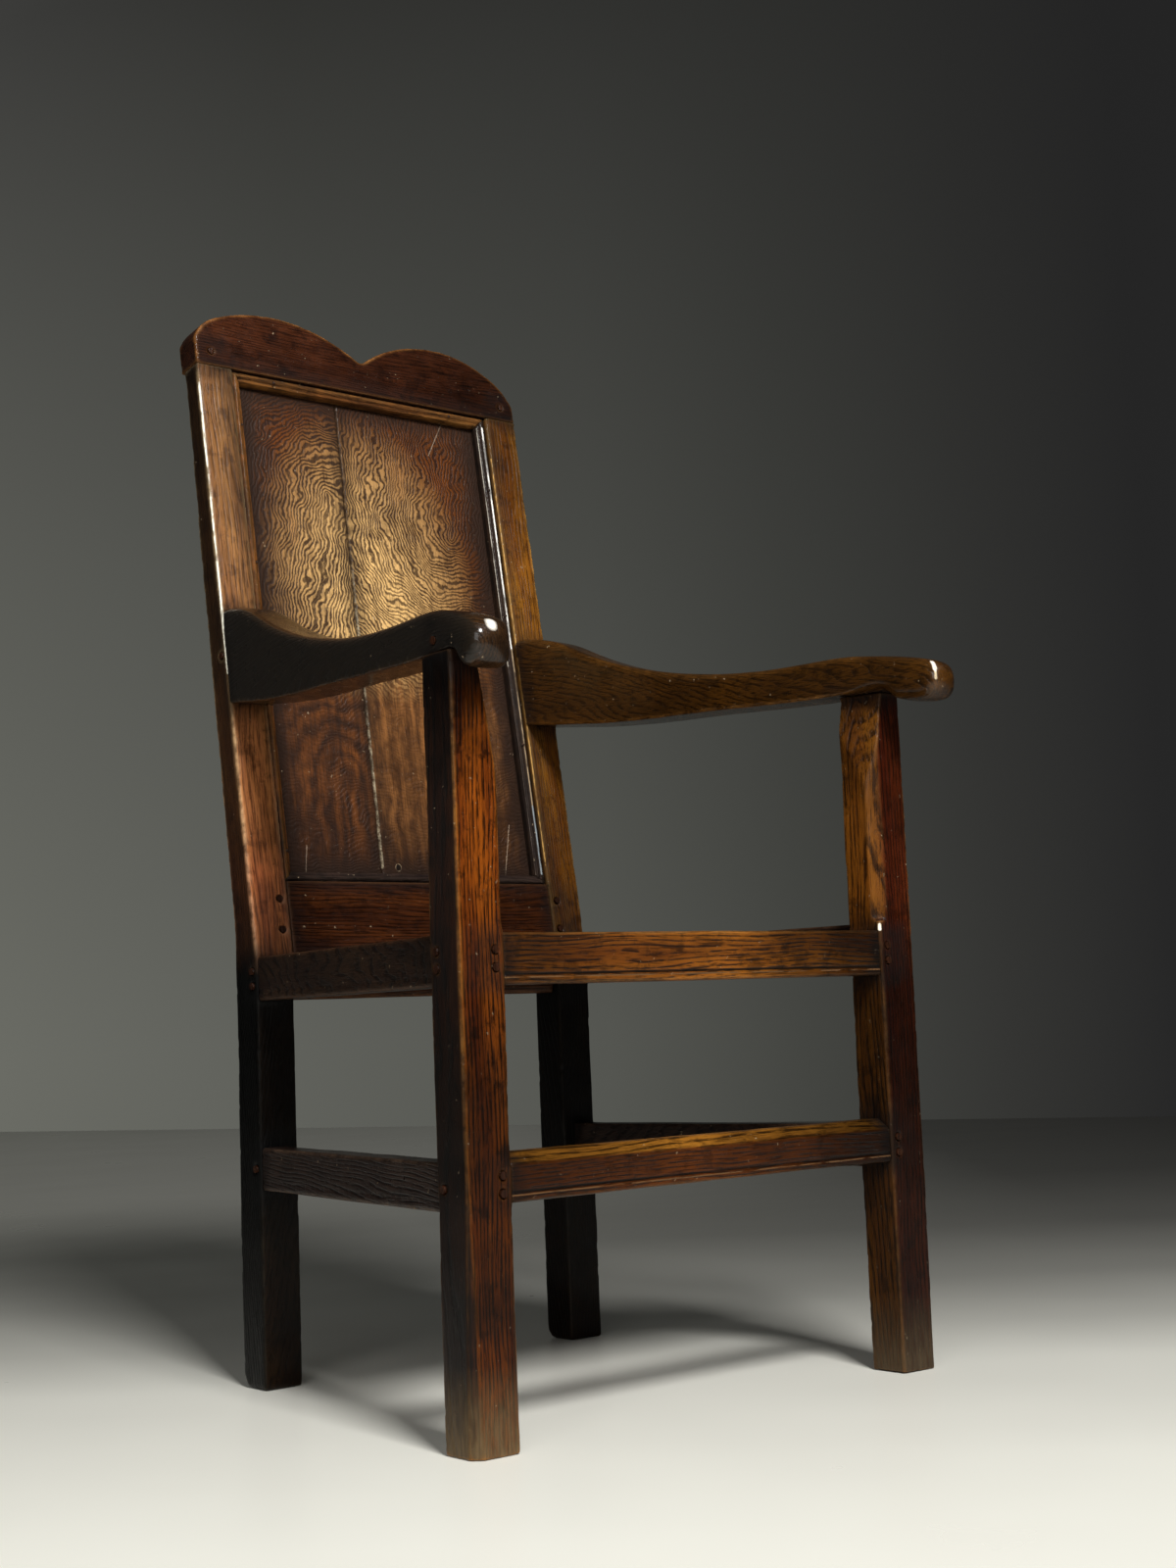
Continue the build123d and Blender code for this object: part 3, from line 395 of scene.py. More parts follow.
def oak(
    name, grain, shift, deep, body, warm, rubbed, ring=0.0036, lines=0.85, patina=0.5, rough=0.33, polish=0.06,
    lit_and_shaded_sides=(), outside=None, shade_tone="#120f0c", fade=None, feet=None, streaks=(),
):
    """Old oak, split and planed by hand, waxed for centuries: growth rings cut through as dark broken lines of
    open pores, slow colour bands, dark wax in the corners and rubbed arrises.

    grain turns the wood's length to Z, shift moves its pattern, and ring is the distance between the dark lines
    in metres. deep is the colour of pores and stains, body and warm are the wood's own, rubbed is that of worn
    arrises, and lines and patina say how much the rings and the stains show. Each of the sides given is a
    direction and a body colour for the faces that look there, painted lighter or darker as light falls on them.
    The shaded side is the direction of the outer face that is painted dark as shade, in the shade tone. fade is
    an axis, its two ends and the tones between them that dim the wood, partly dirt and partly painted shade, and
    feet is the colour of scoured feet.
    """
    material, tree, shader = new_material(name)
    node = partial(add, tree)
    place = node("ShaderNodeTexCoord").outputs["Object"]
    along = node("ShaderNodeMapping", {"Vector": place, "Rotation": grain, "Location": shift})
    drift = noise_along(tree, along, 0.07, 0.40, 2.0).outputs["Color"]
    bent = node("ShaderNodeVectorMath", (drift, (0.03, 0.03, 0.0), along), operation="MULTIPLY_ADD")
    # rings drawn about the pith, which lies outside the wood
    pith = {"Vector": bent, "Location": (0.07, 0.05, 0.0), "Scale": (1, 1, 0.16)}
    from_pith = node("ShaderNodeMapping", pith)
    ring_inputs = {
        "Vector": from_pith, "Scale": ring_wave / ring, "Distortion": 2.4, "Detail": 2.0, "Detail Scale": 0.9,
        "Detail Roughness": 0.6,
    }
    rings = node("ShaderNodeTexWave", ring_inputs, wave_type="RINGS", rings_direction="Z", wave_profile="SAW")
    # open pores: 1 mm wide and 30 mm long, coarser than real ones so that they show
    pores = noise_along(tree, bent, 0.0013, 0.030)
    dashes = noise_along(tree, bent, 0.0045, 0.022)
    bands = noise_along(tree, bent, 0.020, 0.30, 2.0)
    # patina in blotches of about 75 mm, and stains of about 25 mm
    blotch = node("ShaderNodeTexNoise", {"Vector": place, "Scale": 13.0, "Detail": 4.0, "Roughness": 0.62})
    stains = node("ShaderNodeTexNoise", {"Vector": along, "Scale": 42.0, "Detail": 6.0, "Roughness": 0.7})
    ring_line = node(
        "ShaderNodeValToRGB", {"Fac": rings.outputs["Fac"]},
        stops=[(0.0, 1.0), (0.2, 0.85), (0.4, 0.0), (0.9, 0.0), (1.0, 0.7)],
    )
    broken = node("ShaderNodeMapRange", (dashes, 0.38, 0.52, 0.08, 1.0))
    line = node("ShaderNodeMath", (ring_line, broken), operation="MULTIPLY")
    # faces that look one way get a body colour of their own, painted lighter or darker as light falls on them
    for direction, colour in lit_and_shaded_sides:
        body = coated(tree, body, (colour, facing(tree, direction)))
        warm = coated(tree, warm, (colour, facing(tree, direction, most=0.6)))
    tone = coated(
        tree, body,
        (warm, node("ShaderNodeMapRange", (bands, 0.38, 0.62))),
        (deep, line, lines),
        (deep, node("ShaderNodeMapRange", (pores, 0.52, 0.62, 0.0, 0.7))),
        (deep, node("ShaderNodeMapRange", (stains, 0.54, 0.62, 0.0, patina))),
        (deep, node("ShaderNodeMapRange", (blotch, 0.44, 0.72, 0.0, patina))),
    )
    dim = None
    # the fade dims the wood along the piece, partly as dirt and partly as painted shade
    if fade:
        axis, start, end, tones = fade
        level = node("ShaderNodeVectorMath", (place, axis), operation="DOT_PRODUCT")
        unsteady = node("ShaderNodeMath", (blotch, fade_wander, level), operation="MULTIPLY_ADD")
        along_fade = node("ShaderNodeMapRange", (unsteady, start + fade_wander / 2, end + fade_wander / 2))
        dim = node("ShaderNodeValToRGB", {"Fac": along_fade}, stops=tones)
    # the outer face is painted dark as shade
    if outside:
        tone = coated(tree, tone, (shade_tone, facing(tree, outside, most=0.9)))
    if feet:
        height = node("ShaderNodeSeparateXYZ", {"Vector": place}).outputs["Z"]
        low_down = node("ShaderNodeMapRange", (height, 0.075, 0.0))
        tone = coated(tree, tone, (feet, low_down, node("ShaderNodeMapRange", (dashes, 0.3, 0.6, 0.35, 0.9))))
    relief = node("ShaderNodeMath", (line, 0.9, pores), operation="MULTIPLY_ADD")
    finish_wood(
        tree, shader, place, tone, relief, rubbed, rough, dim=dim, polish=polish, streaks=streaks,
        breaks=dashes,
    )
    return material


glow_middle = (-0.014, 0, 0.400)        # the lightest place of the panel, the middle of a painted pool of light on worn wood
glow_reach = (0.150, 0.225)             # how far it fades out, sideways and along the slope
curl_pitch, flame_pitch = 0.0047, 0.019
nail_hole, hole_rim = 0.0035, 0.0042    # radii, with their soft edges


def figured_board(
    name, heart, island, flames, flame_tones, spread, scratches, joint_paint=None, hole=None,
):
    """A flat-sawn oak board, waxed: dense curling figure above, lit in its middle by a painted pool of light,
    broad flames below, edges gone nearly black.

    Places on the board are (X, 0, distance up the slope of the back) in metres. heart and flames are the two
    ends of the lines that the figure runs round, island is the middle and the reach of a plainer spot, spread
    darkens the figure, and joint_paint is the two ends of the painted joint.
    """
    material, tree, shader = new_material(name)
    node = partial(add, tree)
    place = node("ShaderNodeTexCoord").outputs["Object"]
    foot_on_slope = Matrix.Rotation(back_lean, 3, "X") @ back_foot
    onto_slope = {"Vector": place, "Rotation": (back_lean, 0, 0), "Location": -foot_on_slope}
    sloping = node("ShaderNodeMapping", onto_slope)
    flat = node("ShaderNodeVectorMath", (sloping, (1, 0, 1)), operation="MULTIPLY")
    parts = node("ShaderNodeSeparateXYZ", {"Vector": flat})
    across, height = parts.outputs["X"], parts.outputs["Z"]
    # the figure wanders by up to half of each shift, over about 40, 20 and 8 mm
    warped = flat
    for scale, detail, shift in ((24.0, 1.0, 0.036), (50.0, 2.0, 0.010), (120.0, 2.0, 0.0060)):
        noise = node("ShaderNodeTexNoise", {"Vector": flat, "Scale": scale, "Detail": detail}).outputs["Color"]
        centred = node("ShaderNodeVectorMath", (noise, (0.5, 0.5, 0.5)), operation="SUBTRACT")
        warped = node("ShaderNodeVectorMath", (centred, (shift, 0, shift), warped), operation="MULTIPLY_ADD")
    dashes = noise_along(tree, flat, 0.0026, 0.007)
    pores = noise_along(tree, flat, 0.0012, 0.020)
    streaks = noise_along(tree, flat, 0.006, 0.09)
    blotch = node("ShaderNodeTexNoise", {"Vector": flat, "Scale": 17.0, "Detail": 4.0, "Roughness": 0.6})
    mottle = node("ShaderNodeTexNoise", {"Vector": flat, "Scale": 75.0, "Detail": 4.0, "Roughness": 0.7})

    # dense figure, lightest in the middle of the panel, where the patina is worn thin and a pool of light is
    # painted in
    from_glow = node("ShaderNodeVectorMath", (flat, glow_middle), operation="SUBTRACT")
    glow_scale = (1 / glow_reach[0], 0, 1 / glow_reach[1])
    from_glow = node("ShaderNodeVectorMath", (from_glow, glow_scale), operation="MULTIPLY")
    from_glow = node("ShaderNodeVectorMath", (from_glow,), operation="LENGTH")
    glow = node("ShaderNodeMapRange", (from_glow, 1.05, 0.25))
    curls = figure(tree, warped, *heart, curl_pitch, dashes, -0.3 - spread, 0.55 - spread)
    island_foot, island_reach = island
    island_head = Vector(island_foot) + Vector((0, 0, 0.022))
    off_island = stadium(tree, warped, island_foot, island_head)
    plain = node("ShaderNodeMapRange", (off_island, island_reach, island_reach * 0.5))
    faint = node("ShaderNodeMapRange", (plain, 0.0, 1.0, 1.0, 0.7))
    curls = node("ShaderNodeMath", (curls, faint), operation="MULTIPLY")
    uneven = node("ShaderNodeMapRange", (blotch, 0.3, 0.55, 0.7, 0.95))
    mottled = node("ShaderNodeMapRange", (mottle, 0.28, 0.5, 0.65, 1.0))
    strength = node("ShaderNodeMath", (uneven, mottled), operation="MULTIPLY")
    upper = coated(
        tree, "#63340f",
        ("#deb272", glow),
        ("#8a5524", plain, 0.2),
        ("#4a2f1a", node("ShaderNodeMapRange", (mottle, 0.44, 0.66, 0.0, 0.5))),
        ("#3a2114", node("ShaderNodeMapRange", (streaks, 0.5, 0.68, 0.0, 0.5))),
        (coated(tree, "#24150f", ("#3b291a", glow)), curls, strength),
        ("#2c1a12", node("ShaderNodeMapRange", (blotch, 0.52, 0.72, 0.0, 0.5))),
    )

    # broad flames lower down
    umber, orange = flame_tones
    broad = figure(tree, warped, *flames, flame_pitch, dashes, -1.5, 1.1)
    lower = coated(
        tree, orange,
        (umber, broad, node("ShaderNodeMapRange", (mottle, 0.3, 0.6, 0.45, 0.9))),
        (umber, node("ShaderNodeMapRange", (streaks, 0.45, 0.62, 0.0, 0.6))),
        (umber, node("ShaderNodeMapRange", (blotch, 0.42, 0.66, 0.0, 0.75))),
        ("#1f1410", node("ShaderNodeMapRange", (height, 0.20, 0.08, 0.0, 0.85))),
    )

    # edges and corners gone dark under the moulding
    ragged = node("ShaderNodeMath", (blotch, 0.05, -0.025), operation="MULTIPLY_ADD")
    from_middle = node("ShaderNodeMath", (across,), operation="ABSOLUTE")
    reach = node("ShaderNodeMath", (from_middle, ragged), operation="ADD")
    rise = node("ShaderNodeMath", (height, ragged), operation="ADD")
    margin = node("ShaderNodeMapRange", (reach, 0.112, 0.155))
    for inner, outer in ((0.585, 0.66), (0.125, 0.085)):
        end = node("ShaderNodeMapRange", (rise, inner, outer))
        margin = node("ShaderNodeMath", (margin, end), operation="MAXIMUM")
    tone = coated(
        tree, lower,
        (upper, node("ShaderNodeMapRange", (height, 0.285, 0.36))),
        ("#2a1b13", margin, 0.9),
        ("#1c100a", node("ShaderNodeMapRange", (pores, 0.52, 0.66, 0.0, 0.6))),
    )
    for foot, head, width in scratches:
        thin = node("ShaderNodeMapRange", (stadium(tree, flat, foot, head), width, width * 0.4))
        tone = coated(tree, tone, ("#9a8672", thin, node("ShaderNodeMapRange", (pores, 0.35, 0.6, 0.25, 0.9))))
    if joint_paint:
        # lime paint left in the joint between the boards, mostly gone from its upper half
        seam = node("ShaderNodeMapRange", (stadium(tree, flat, *joint_paint), 0.0016, 0.0007))
        broken = node("ShaderNodeMapRange", (dashes, 0.36, 0.55))
        left = node("ShaderNodeMapRange", (height, 0.47, 0.40, 0.08, 1.0))
        kept = node("ShaderNodeMath", (broken, left), operation="MULTIPLY")
        tone = coated(tree, tone, ("#d9c7a4", seam, kept))
    if hole:
        # a nail hole with a broken pale rim
        away = stadium(tree, flat, hole, Vector(hole) + Vector((0, 0, 0.001)))
        rim = node("ShaderNodeMapRange", (away, hole_rim, hole_rim - 0.0006))
        dark = node("ShaderNodeMapRange", (away, nail_hole, nail_hole - 0.0006))
        tone = coated(
            tree, tone,
            ("#a89274", rim, node("ShaderNodeMapRange", (dashes, 0.4, 0.55, 0.1, 0.8))),
            ("#050302", dark),
        )
    relief = node("ShaderNodeMath", (curls, 0.5, pores), operation="MULTIPLY_ADD")
    finish_wood(tree, shader, place, tone, relief, "#4a3424", 0.36, dirt="#1e120a", chips=0.5)
    return material


def on_back(x, height, depth=0.0):
    """A point of the sloping back: X, distance up the slope, depth behind the stiles' faces."""
    return back_foot + Vector((x, 0, 0)) + back_up * height + back_in * depth


def up_back(x, depth, low, high, width, colour):
    """A streak up the sloping back."""
    return on_back(x, low, depth), on_back(x, high, depth), width, colour


def glint_on_leg(height, length):
    """A painted glint on the inner arris of the right front leg."""
    foot = Vector((boxes["front_leg_right"][0][0] + 0.001, -0.2505, height))
    return foot, foot + Vector((0, 0, length)), 0.0023, "#fff4dc"


def groove_shade_and_highlight(name):
    """The dirt and painted shade in a front rail's groove above its lower edge, and a painted highlight on the
    arris under it.
    """
    low, high = boxes[name]
    ends = [Vector((x, low[1] + 0.0004, low[2] + groove_rise)) for x in (low[0], high[0])]
    under = Vector((0, 0, -0.0028))
    return [(*ends, 0.0016, "#0a0503", 0.9), (ends[0] + under, ends[1] + under, 0.0009, "#5e432a", 0.0)]


groove_rise = 0.009             # lower edge of a rail to its scratched groove
# the right moulding's painted highlights run up these crowns
bead = (0.1684, 0.0032)         # X and depth of the crown of the right moulding's outer bead
reed = (0.1623, 0.0066)         # and of its inner reed
left_edge = boxes["back_stile_left"][0][0] + 0.0012     # just inside the stiles' left arrises
right_edge = boxes["back_stile_right"][0][0] + 0.001
# painted highlights: on the edge of the right hand, from its top round to its front, and on the knuckle of the
# left
hand_top, hand_turn, hand_low = (
    Vector(corner)
    for corner in ((0.2544, -0.3213, 0.6901), (0.2507, -0.3277, 0.6820), (0.2498, -0.3290, 0.6720))
)
left_hand_highlight = Vector((-0.2667, -0.2908, 0.6830)), Vector((-0.2655, -0.2885, 0.6865))

# turns that bring the wood's length to Z
upright = (0.0, 0.0, 0.0)
leaning = (back_lean, 0.0, 0.0)
crosswise = (0.0, radians(90), 0.0)
backward = (radians(90), 0.0, 0.0)
to_left, to_right, to_front, up = (-1, 0, 0), (1, 0, 0), (0, -1, 0), (0, 0, 1)

# Waxed oak: brown where hands and cloths reach it, with pale rubbed arrises; its outer faces are painted nearly
# black as shade, and it is darker low down. A fade is a slow change of tone along a piece, mostly darker towards
# the floor and its ends, partly dirt and partly painted shade, such as the seat's shadow on the back legs.
finishes = {
    # its outer face is painted dark as shade, and the fade paints the hand's shadow at the top of the leg
    "front_leg_left": oak(
        "waxed_oak_front_leg_left", upright, (0.1, 0.2, 0.0), "#0d0502", "#5c2608", "#86430e", "#d68c36",
        ring=0.0042, lines=1.0, patina=0.7, outside=to_left, shade_tone="#1c1816", feet="#8c7350",
        fade=(up, 0.0, 0.68, [
            (0.0, 0.55), (0.12, 0.45), (0.34, 0.24), (0.52, 0.45), (0.68, 0.8), (0.8, 0.85), (0.88, 0.45),
            (0.93, 0.12),
        ]),
    ),
    # its inner face is painted golden as light, its outer face dark as shade, with painted glints on its inner
    # arris
    "front_leg_right": oak(
        "waxed_oak_front_leg_right", upright, (0.4, 0.7, 0.3), "#120703", "#411607", "#55230b", "#b87d40",
        ring=0.0036, lit_and_shaded_sides=[(to_left, "#7c4b12")], outside=to_right, feet="#7d684c",
        streaks=[glint_on_leg(0.431, 0.004), glint_on_leg(0.606, 0.002), glint_on_leg(0.628, 0.006)],
        fade=(up, 0.0, 0.68, [
            (0.0, 0.35), (0.15, 0.25), (0.4, 0.2), (0.56, 0.25), (0.68, 0.85), (0.8, 0.85), (0.88, 0.6),
            (1.0, 0.35),
        ]),
    ),
    # a painted highlight runs up its left arris, and the fade paints the seat's shadow on it below the seat
    "back_stile_left": oak(
        "waxed_oak_back_stile_left", leaning, (0.3, 0.1, 0.2), "#3a2113", "#9f693f", "#c1874e", "#f2cc96",
        lines=0.5, outside=to_left, streaks=[up_back(left_edge, 0.001, 0.30, 0.63, 0.0017, "#fffbe8")],
        fade=(up, 0.0, 1.12, [
            (0.0, 0.02), (0.12, 0.015), (0.2, 0.005), (0.36, 0.005), (0.395, "#b3a0a0"), (0.45, "#f3d0d0"),
            (0.52, "#ffece6"), (0.58, "#fff0ec"), (0.66, 0.62), (0.74, 0.62), (0.84, 0.54), (0.92, 0.4),
            (1.0, 0.3),
        ]),
    ),
    # a painted highlight runs up its inner arris, and the fade paints the seat's shadow on it below the seat
    "back_stile_right": oak(
        "waxed_oak_back_stile_right", leaning, (0.8, 0.5, 0.1), "#241108", "#744212", "#96601a", "#c99850",
        lines=0.4, outside=to_right, streaks=[up_back(right_edge, 0.001, 0.10, 0.60, 0.0011, "#b48a4c")],
        fade=(up, 0.0, 1.12, [
            (0.0, 0.03), (0.2, 0.01), (0.36, 0.01), (0.42, 0.35), (0.6, 0.55), (0.8, 0.9), (0.94, 0.45),
            (1.0, 0.3),
        ]),
    ),
    # both hands carry painted highlights; the outer faces are painted dark as shade, and the right arm's inner
    # face has a tone of its own for the light on it
    "arm_left": oak(
        "waxed_oak_arm_left", backward, (0.2, 0.6, 0.9), "#0c0704", "#26180c", "#392410", "#3f280f",
        outside=to_left, shade_tone="#1d1914", rough=0.3, polish=0.5,
        streaks=[(*left_hand_highlight, 0.0062, "#efe6d8", 1.0)],
    ),
    "arm_right": oak(
        "waxed_oak_arm_right", backward, (0.9, 0.2, 0.4), "#0f0702", "#321d07", "#4c2d09", "#8f6029",
        ring=0.0026, lines=0.7, rough=0.3, polish=0.5, lit_and_shaded_sides=[(to_left, "#361f06")], outside=to_right,
        streaks=[(hand_top, hand_turn, 0.0026, "#efe6d8", 1.0), (hand_turn, hand_low, 0.0016, "#c9b595", 1.0)],
    ),
    "crest_rail": oak(
        "waxed_oak_crest_rail", crosswise, (0.5, 0.3, 0.7), "#0f0604", "#36190b", "#482412", "#b87a3c",
        lines=0.5, patina=0.5,
        fade=(to_right, -0.25, 0.25, [(0.0, 0.9), (0.3, 0.8), (0.6, 0.7), (0.8, 0.45), (1.0, 0.4)]),
    ),
    "back_rail": oak(
        "waxed_oak_back_rail", crosswise, (0.6, 0.9, 0.2), "#120704", "#381a0b", "#50280e", "#8f5c30",
        lines=0.7, fade=(to_right, -0.25, 0.25, [(0.0, 0.7), (0.4, 0.8), (0.7, 0.7), (1.0, 0.4)]),
    ),
    "seat_rail_front": oak(
        "waxed_oak_seat_rail_front", crosswise, (0.3, 0.8, 0.5), "#130904", "#703c12", "#96591a", "#c98d48",
        ring=0.0033, lines=0.95, streaks=groove_shade_and_highlight("seat_rail_front"),
        fade=(to_right, -0.25, 0.25, [
            (0.0, 0.22), (0.14, 0.36), (0.3, 0.8), (0.58, 0.9), (0.72, 0.35), (0.85, 0.15), (1.0, 0.12),
        ]),
    ),
    "seat_rail_left": oak(
        "waxed_oak_seat_rail_left", backward, (0.7, 0.4, 0.6), "#0d0705", "#261811", "#302015", "#5a3c26",
    ),
    "seat_rail_right": oak(
        "waxed_oak_seat_rail_right", backward, (0.1, 0.9, 0.8), "#0d0705", "#261811", "#302015", "#5a3c26",
    ),
    "seat_rail_rear": oak(
        "waxed_oak_seat_rail_rear", crosswise, (0.2, 0.3, 0.1), "#120a07", "#3c2315", "#4c2e1a", "#6a4326",
    ),
    # its top is painted lighter and its front darker as light falls on them, and its groove has painted shade
    # and a painted highlight
    "stretcher_front": oak(
        "waxed_oak_stretcher_front", crosswise, (0.9, 0.1, 0.3), "#0f0603", "#3c1a07", "#572a09", "#a56d2c",
        ring=0.0042, lines=0.9, streaks=groove_shade_and_highlight("stretcher_front"),
        lit_and_shaded_sides=[(to_front, "#54290a"), (up, "#94601f")],
        fade=(to_right, -0.25, 0.25, [
            (0.0, 0.3), (0.25, 0.6), (0.45, 1.0), (0.6, 0.9), (0.78, 0.25), (1.0, 0.1),
        ]),
    ),
    "stretcher_left": oak(
        "waxed_oak_stretcher_left", backward, (0.5, 0.7, 0.4), "#0e0807", "#261b17", "#2e211b", "#5c4838",
    ),
    "stretcher_right": oak(
        "waxed_oak_stretcher_right", backward, (0.6, 0.2, 0.7), "#0e0807", "#1f1410", "#281b14", "#4a3626",
    ),
    "panel_board_left": figured_board(
        "flat_sawn_oak_panel_left", heart=((-0.092, 0, 0.362), (-0.050, 0, 0.530)),
        island=((-0.108, 0, 0.47), 0.010), flames=((-0.079, 0, 0.10), (-0.074, 0, 0.20)),
        flame_tones=("#281b15", "#74431f"), spread=0.1,
        scratches=[((-0.141, 0, 0.070), (-0.133, 0, 0.120), 0.0007)],
    ),
    "panel_board_right": figured_board(
        "flat_sawn_oak_panel_right", heart=((0.112, 0, 0.505), (0.150, 0, 0.720)),
        island=((0.040, 0, 0.548), 0.020), flames=((-0.300, 0, 0.0), (-0.290, 0, 0.60)),
        flame_tones=("#3c2515", "#915f33"), spread=0.0,
        scratches=[
            ((0.118, 0, 0.643), (0.093, 0, 0.5985), 0.0007), ((0.125, 0, 0.085), (0.141, 0, 0.150), 0.0008),
        ],
        joint_paint=((-0.0392, 0, 0.0975), (-0.0309, 0, 0.640)), hole=(-0.019, 0, 0.0970),
    ),
    "moulding_top": oak(
        "waxed_oak_moulding_top", crosswise, (0.2, 0.2, 0.6), "#190c07", "#774820", "#a06b32", "#b98548",
        lines=0.3,
    ),
    "moulding_bottom": oak(
        "waxed_oak_moulding_bottom", crosswise, (0.6, 0.6, 0.1), "#120b09", "#30221c", "#42322a", "#6b5848",
        lines=0.3,
    ),
    "moulding_left": oak(
        "waxed_oak_moulding_left", leaning, (0.9, 0.9, 0.3), "#190c07", "#744319", "#995f26", "#d29a50",
        lines=0.3,
    ),
    # its beads carry painted highlights: pale lines up their crowns, greyer and duller lower down
    "moulding_right": oak(
        "oak_moulding_right_painted_highlights", leaning, (0.1, 0.1, 0.1), "#100a07", "#2a1c13", "#3d2a1b", "#5c4630",
        lines=0.3, rough=0.34, polish=0.1,
        streaks=[
            up_back(*bead, 0.36, 0.64, 0.0013, "#f4f0e6"),
            up_back(*reed, 0.34, 0.64, 0.0010, "#c4bcac"),
            up_back(*bead, 0.17, 0.36, 0.0010, "#a08a6c"),
            up_back(*bead, 0.09, 0.17, 0.0012, "#8f9698"),
            up_back(*reed, 0.09, 0.34, 0.0008, "#6e6258"),
        ],
    ),
}
seat_tones = {
    "seat_board_1": ((0.3, 0.5, 0.2), "#5e3819", "#7c5126"),
    "seat_board_2": ((0.7, 0.1, 0.9), "#5a3518", "#764b22"),
    "seat_board_3": ((0.1, 0.8, 0.4), "#5e3819", "#7c5126"),
}
for name, (shift, body, warm) in seat_tones.items():
    finishes[name] = oak("waxed_oak_" + name, crosswise, shift, "#1c0d07", body, warm, "#9a6a3c", ring=0.006)
for name, material in finishes.items():
    pieces[name].data.materials.clear()
    pieces[name].data.materials.append(material)

# Pegs show their end grain, which drinks wax and goes dark
peg_oak = oak(
    "end_grain_oak_pegs", upright, (0.5, 0.5, 0.5), "#0c0604", "#27140b", "#3a1f11", "#54321b", lines=0.3,
)
for name, node in nodes.items():
    if name.startswith("peg_"):
        for slot in node.material_slots:
            slot.material = peg_oak


# ---------------------------------------------------------------- nails

def nail_row_tree():
    """Geometry nodes that set rose-head nails along lines, each turned and sized a little differently."""
    tree = bpy.data.node_groups.new("nail_row", "GeometryNodeTree")
    node = partial(add, tree)
    sockets = [
        ("Lines", "NodeSocketGeometry"), ("Spacing", "NodeSocketFloat"), ("Head radius", "NodeSocketFloat"),
        ("Head height", "NodeSocketFloat"), ("Tilt", "NodeSocketVector"), ("Seed", "NodeSocketInt"),
        ("Iron", "NodeSocketMaterial"),
    ]
    for label, kind in sockets:
        tree.interface.new_socket(label, in_out="INPUT", socket_type=kind)
    tree.interface.new_socket("Nails", in_out="OUTPUT", socket_type="NodeSocketGeometry")
    given = node("NodeGroupInput").outputs
    lines = node("GeometryNodeMeshToCurve", {"Mesh": given["Lines"]})
    places = node("GeometryNodeResampleCurve", {"Curve": lines, "Length": given["Spacing"]}, mode="LENGTH")
    point = node("ShaderNodeMath", (given["Head radius"], 0.45), operation="MULTIPLY")
    head = node("GeometryNodeMeshCone", {
        "Vertices": 7, "Radius Top": point, "Radius Bottom": given["Head radius"], "Depth": given["Head height"],
    })
    size = node("FunctionNodeRandomValue", {"Min": 0.75, "Max": 1.15, "Seed": given["Seed"]}, data_type="FLOAT")
    turns = {"Min": (-0.12, -0.12, 0.0), "Max": (0.12, 0.12, 6.0), "Seed": given["Seed"]}
    spin = node("FunctionNodeRandomValue", turns, data_type="FLOAT_VECTOR")
    on_lines = {"Points": places, "Instance": head, "Rotation": given["Tilt"], "Scale": size}
    heads = node("GeometryNodeInstanceOnPoints", on_lines)
    heads = node("GeometryNodeRotateInstances", {"Instances": heads, "Rotation": spin, "Local Space": True})
    solid = node("GeometryNodeRealizeInstances", {"Geometry": heads})
    painted = node("GeometryNodeSetMaterial", {"Geometry": solid, "Material": given["Iron"]})
    node("NodeGroupOutput", {"Nails": painted})
    return tree


def on_moulding(name, x, height):
    """The point of a moulding's surface in front of a place on the sloping back, where a nail's head sits."""
    mesh = nodes[name].data
    polygons = [list(p.vertices) for p in mesh.polygons]
    surface = BVHTree.FromPolygons([v.co.copy() for v in mesh.vertices], polygons)
    hit = surface.ray_cast(on_back(x, height, -0.05), back_in)[0]
    return hit - back_in * nail_height * 0.4


def forged_iron(name):
    """Hand-forged nail heads under old wax: nearly black, a little brown, with dull worn facets."""
    material, tree, shader = new_material(name)
    node = partial(add, tree)
    place = node("ShaderNodeTexCoord").outputs["Object"]
    rust = node("ShaderNodeTexNoise", {"Vector": place, "Scale": 700.0, "Detail": 3.0})
    fill(shader, {
        "Base Color": coated(tree, "#1d1815", ("#4a3226", node("ShaderNodeMapRange", (rust, 0.4, 0.65)))),
        "Roughness": node("ShaderNodeMapRange", (rust, 0.3, 0.7, 0.35, 0.6)),
        "Normal": node("ShaderNodeBump", {"Height": rust, "Strength": 0.4, "Distance": 0.0003}),
        "Metallic": 0.6,
    })
    return material


nail_height = 0.0011
nail_lines = [
    ("moulding_right", (0.1665, 0.085), (0.1665, 0.560)),
    ("moulding_left", (-0.1665, 0.110), (-0.1665, 0.590)),
    ("moulding_top", (-0.120, 0.6475), (0.120, 0.6475)),
]
line_points = [on_moulding(name, *end) for name, *ends in nail_lines for end in ends]
line_mesh = bpy.data.meshes.new("moulding_nails")
line_mesh.from_pydata(line_points, [(i, i + 1) for i in range(0, len(line_points), 2)], [])
nails = bpy.data.objects.new("moulding_nails", line_mesh)
collection.objects.link(nails)
row = nails.modifiers.new("nail_row", "NODES")
row.node_group = nail_row_tree()
nail_sizes = {
    "Spacing": 0.155,
    "Head radius": 0.0019,
    "Head height": nail_height,
    "Tilt": (pi / 2 - back_lean, 0.0, 0.0),
    "Seed": 5,
    "Iron": forged_iron("forged_iron_nails"),
}
for item in row.node_group.interface.items_tree:
    if item.in_out == "INPUT" and item.name in nail_sizes:
        row[item.identifier] = nail_sizes[item.name]
nails.data = bpy.data.meshes.new_from_object(nails.evaluated_get(bpy.context.evaluated_depsgraph_get()))
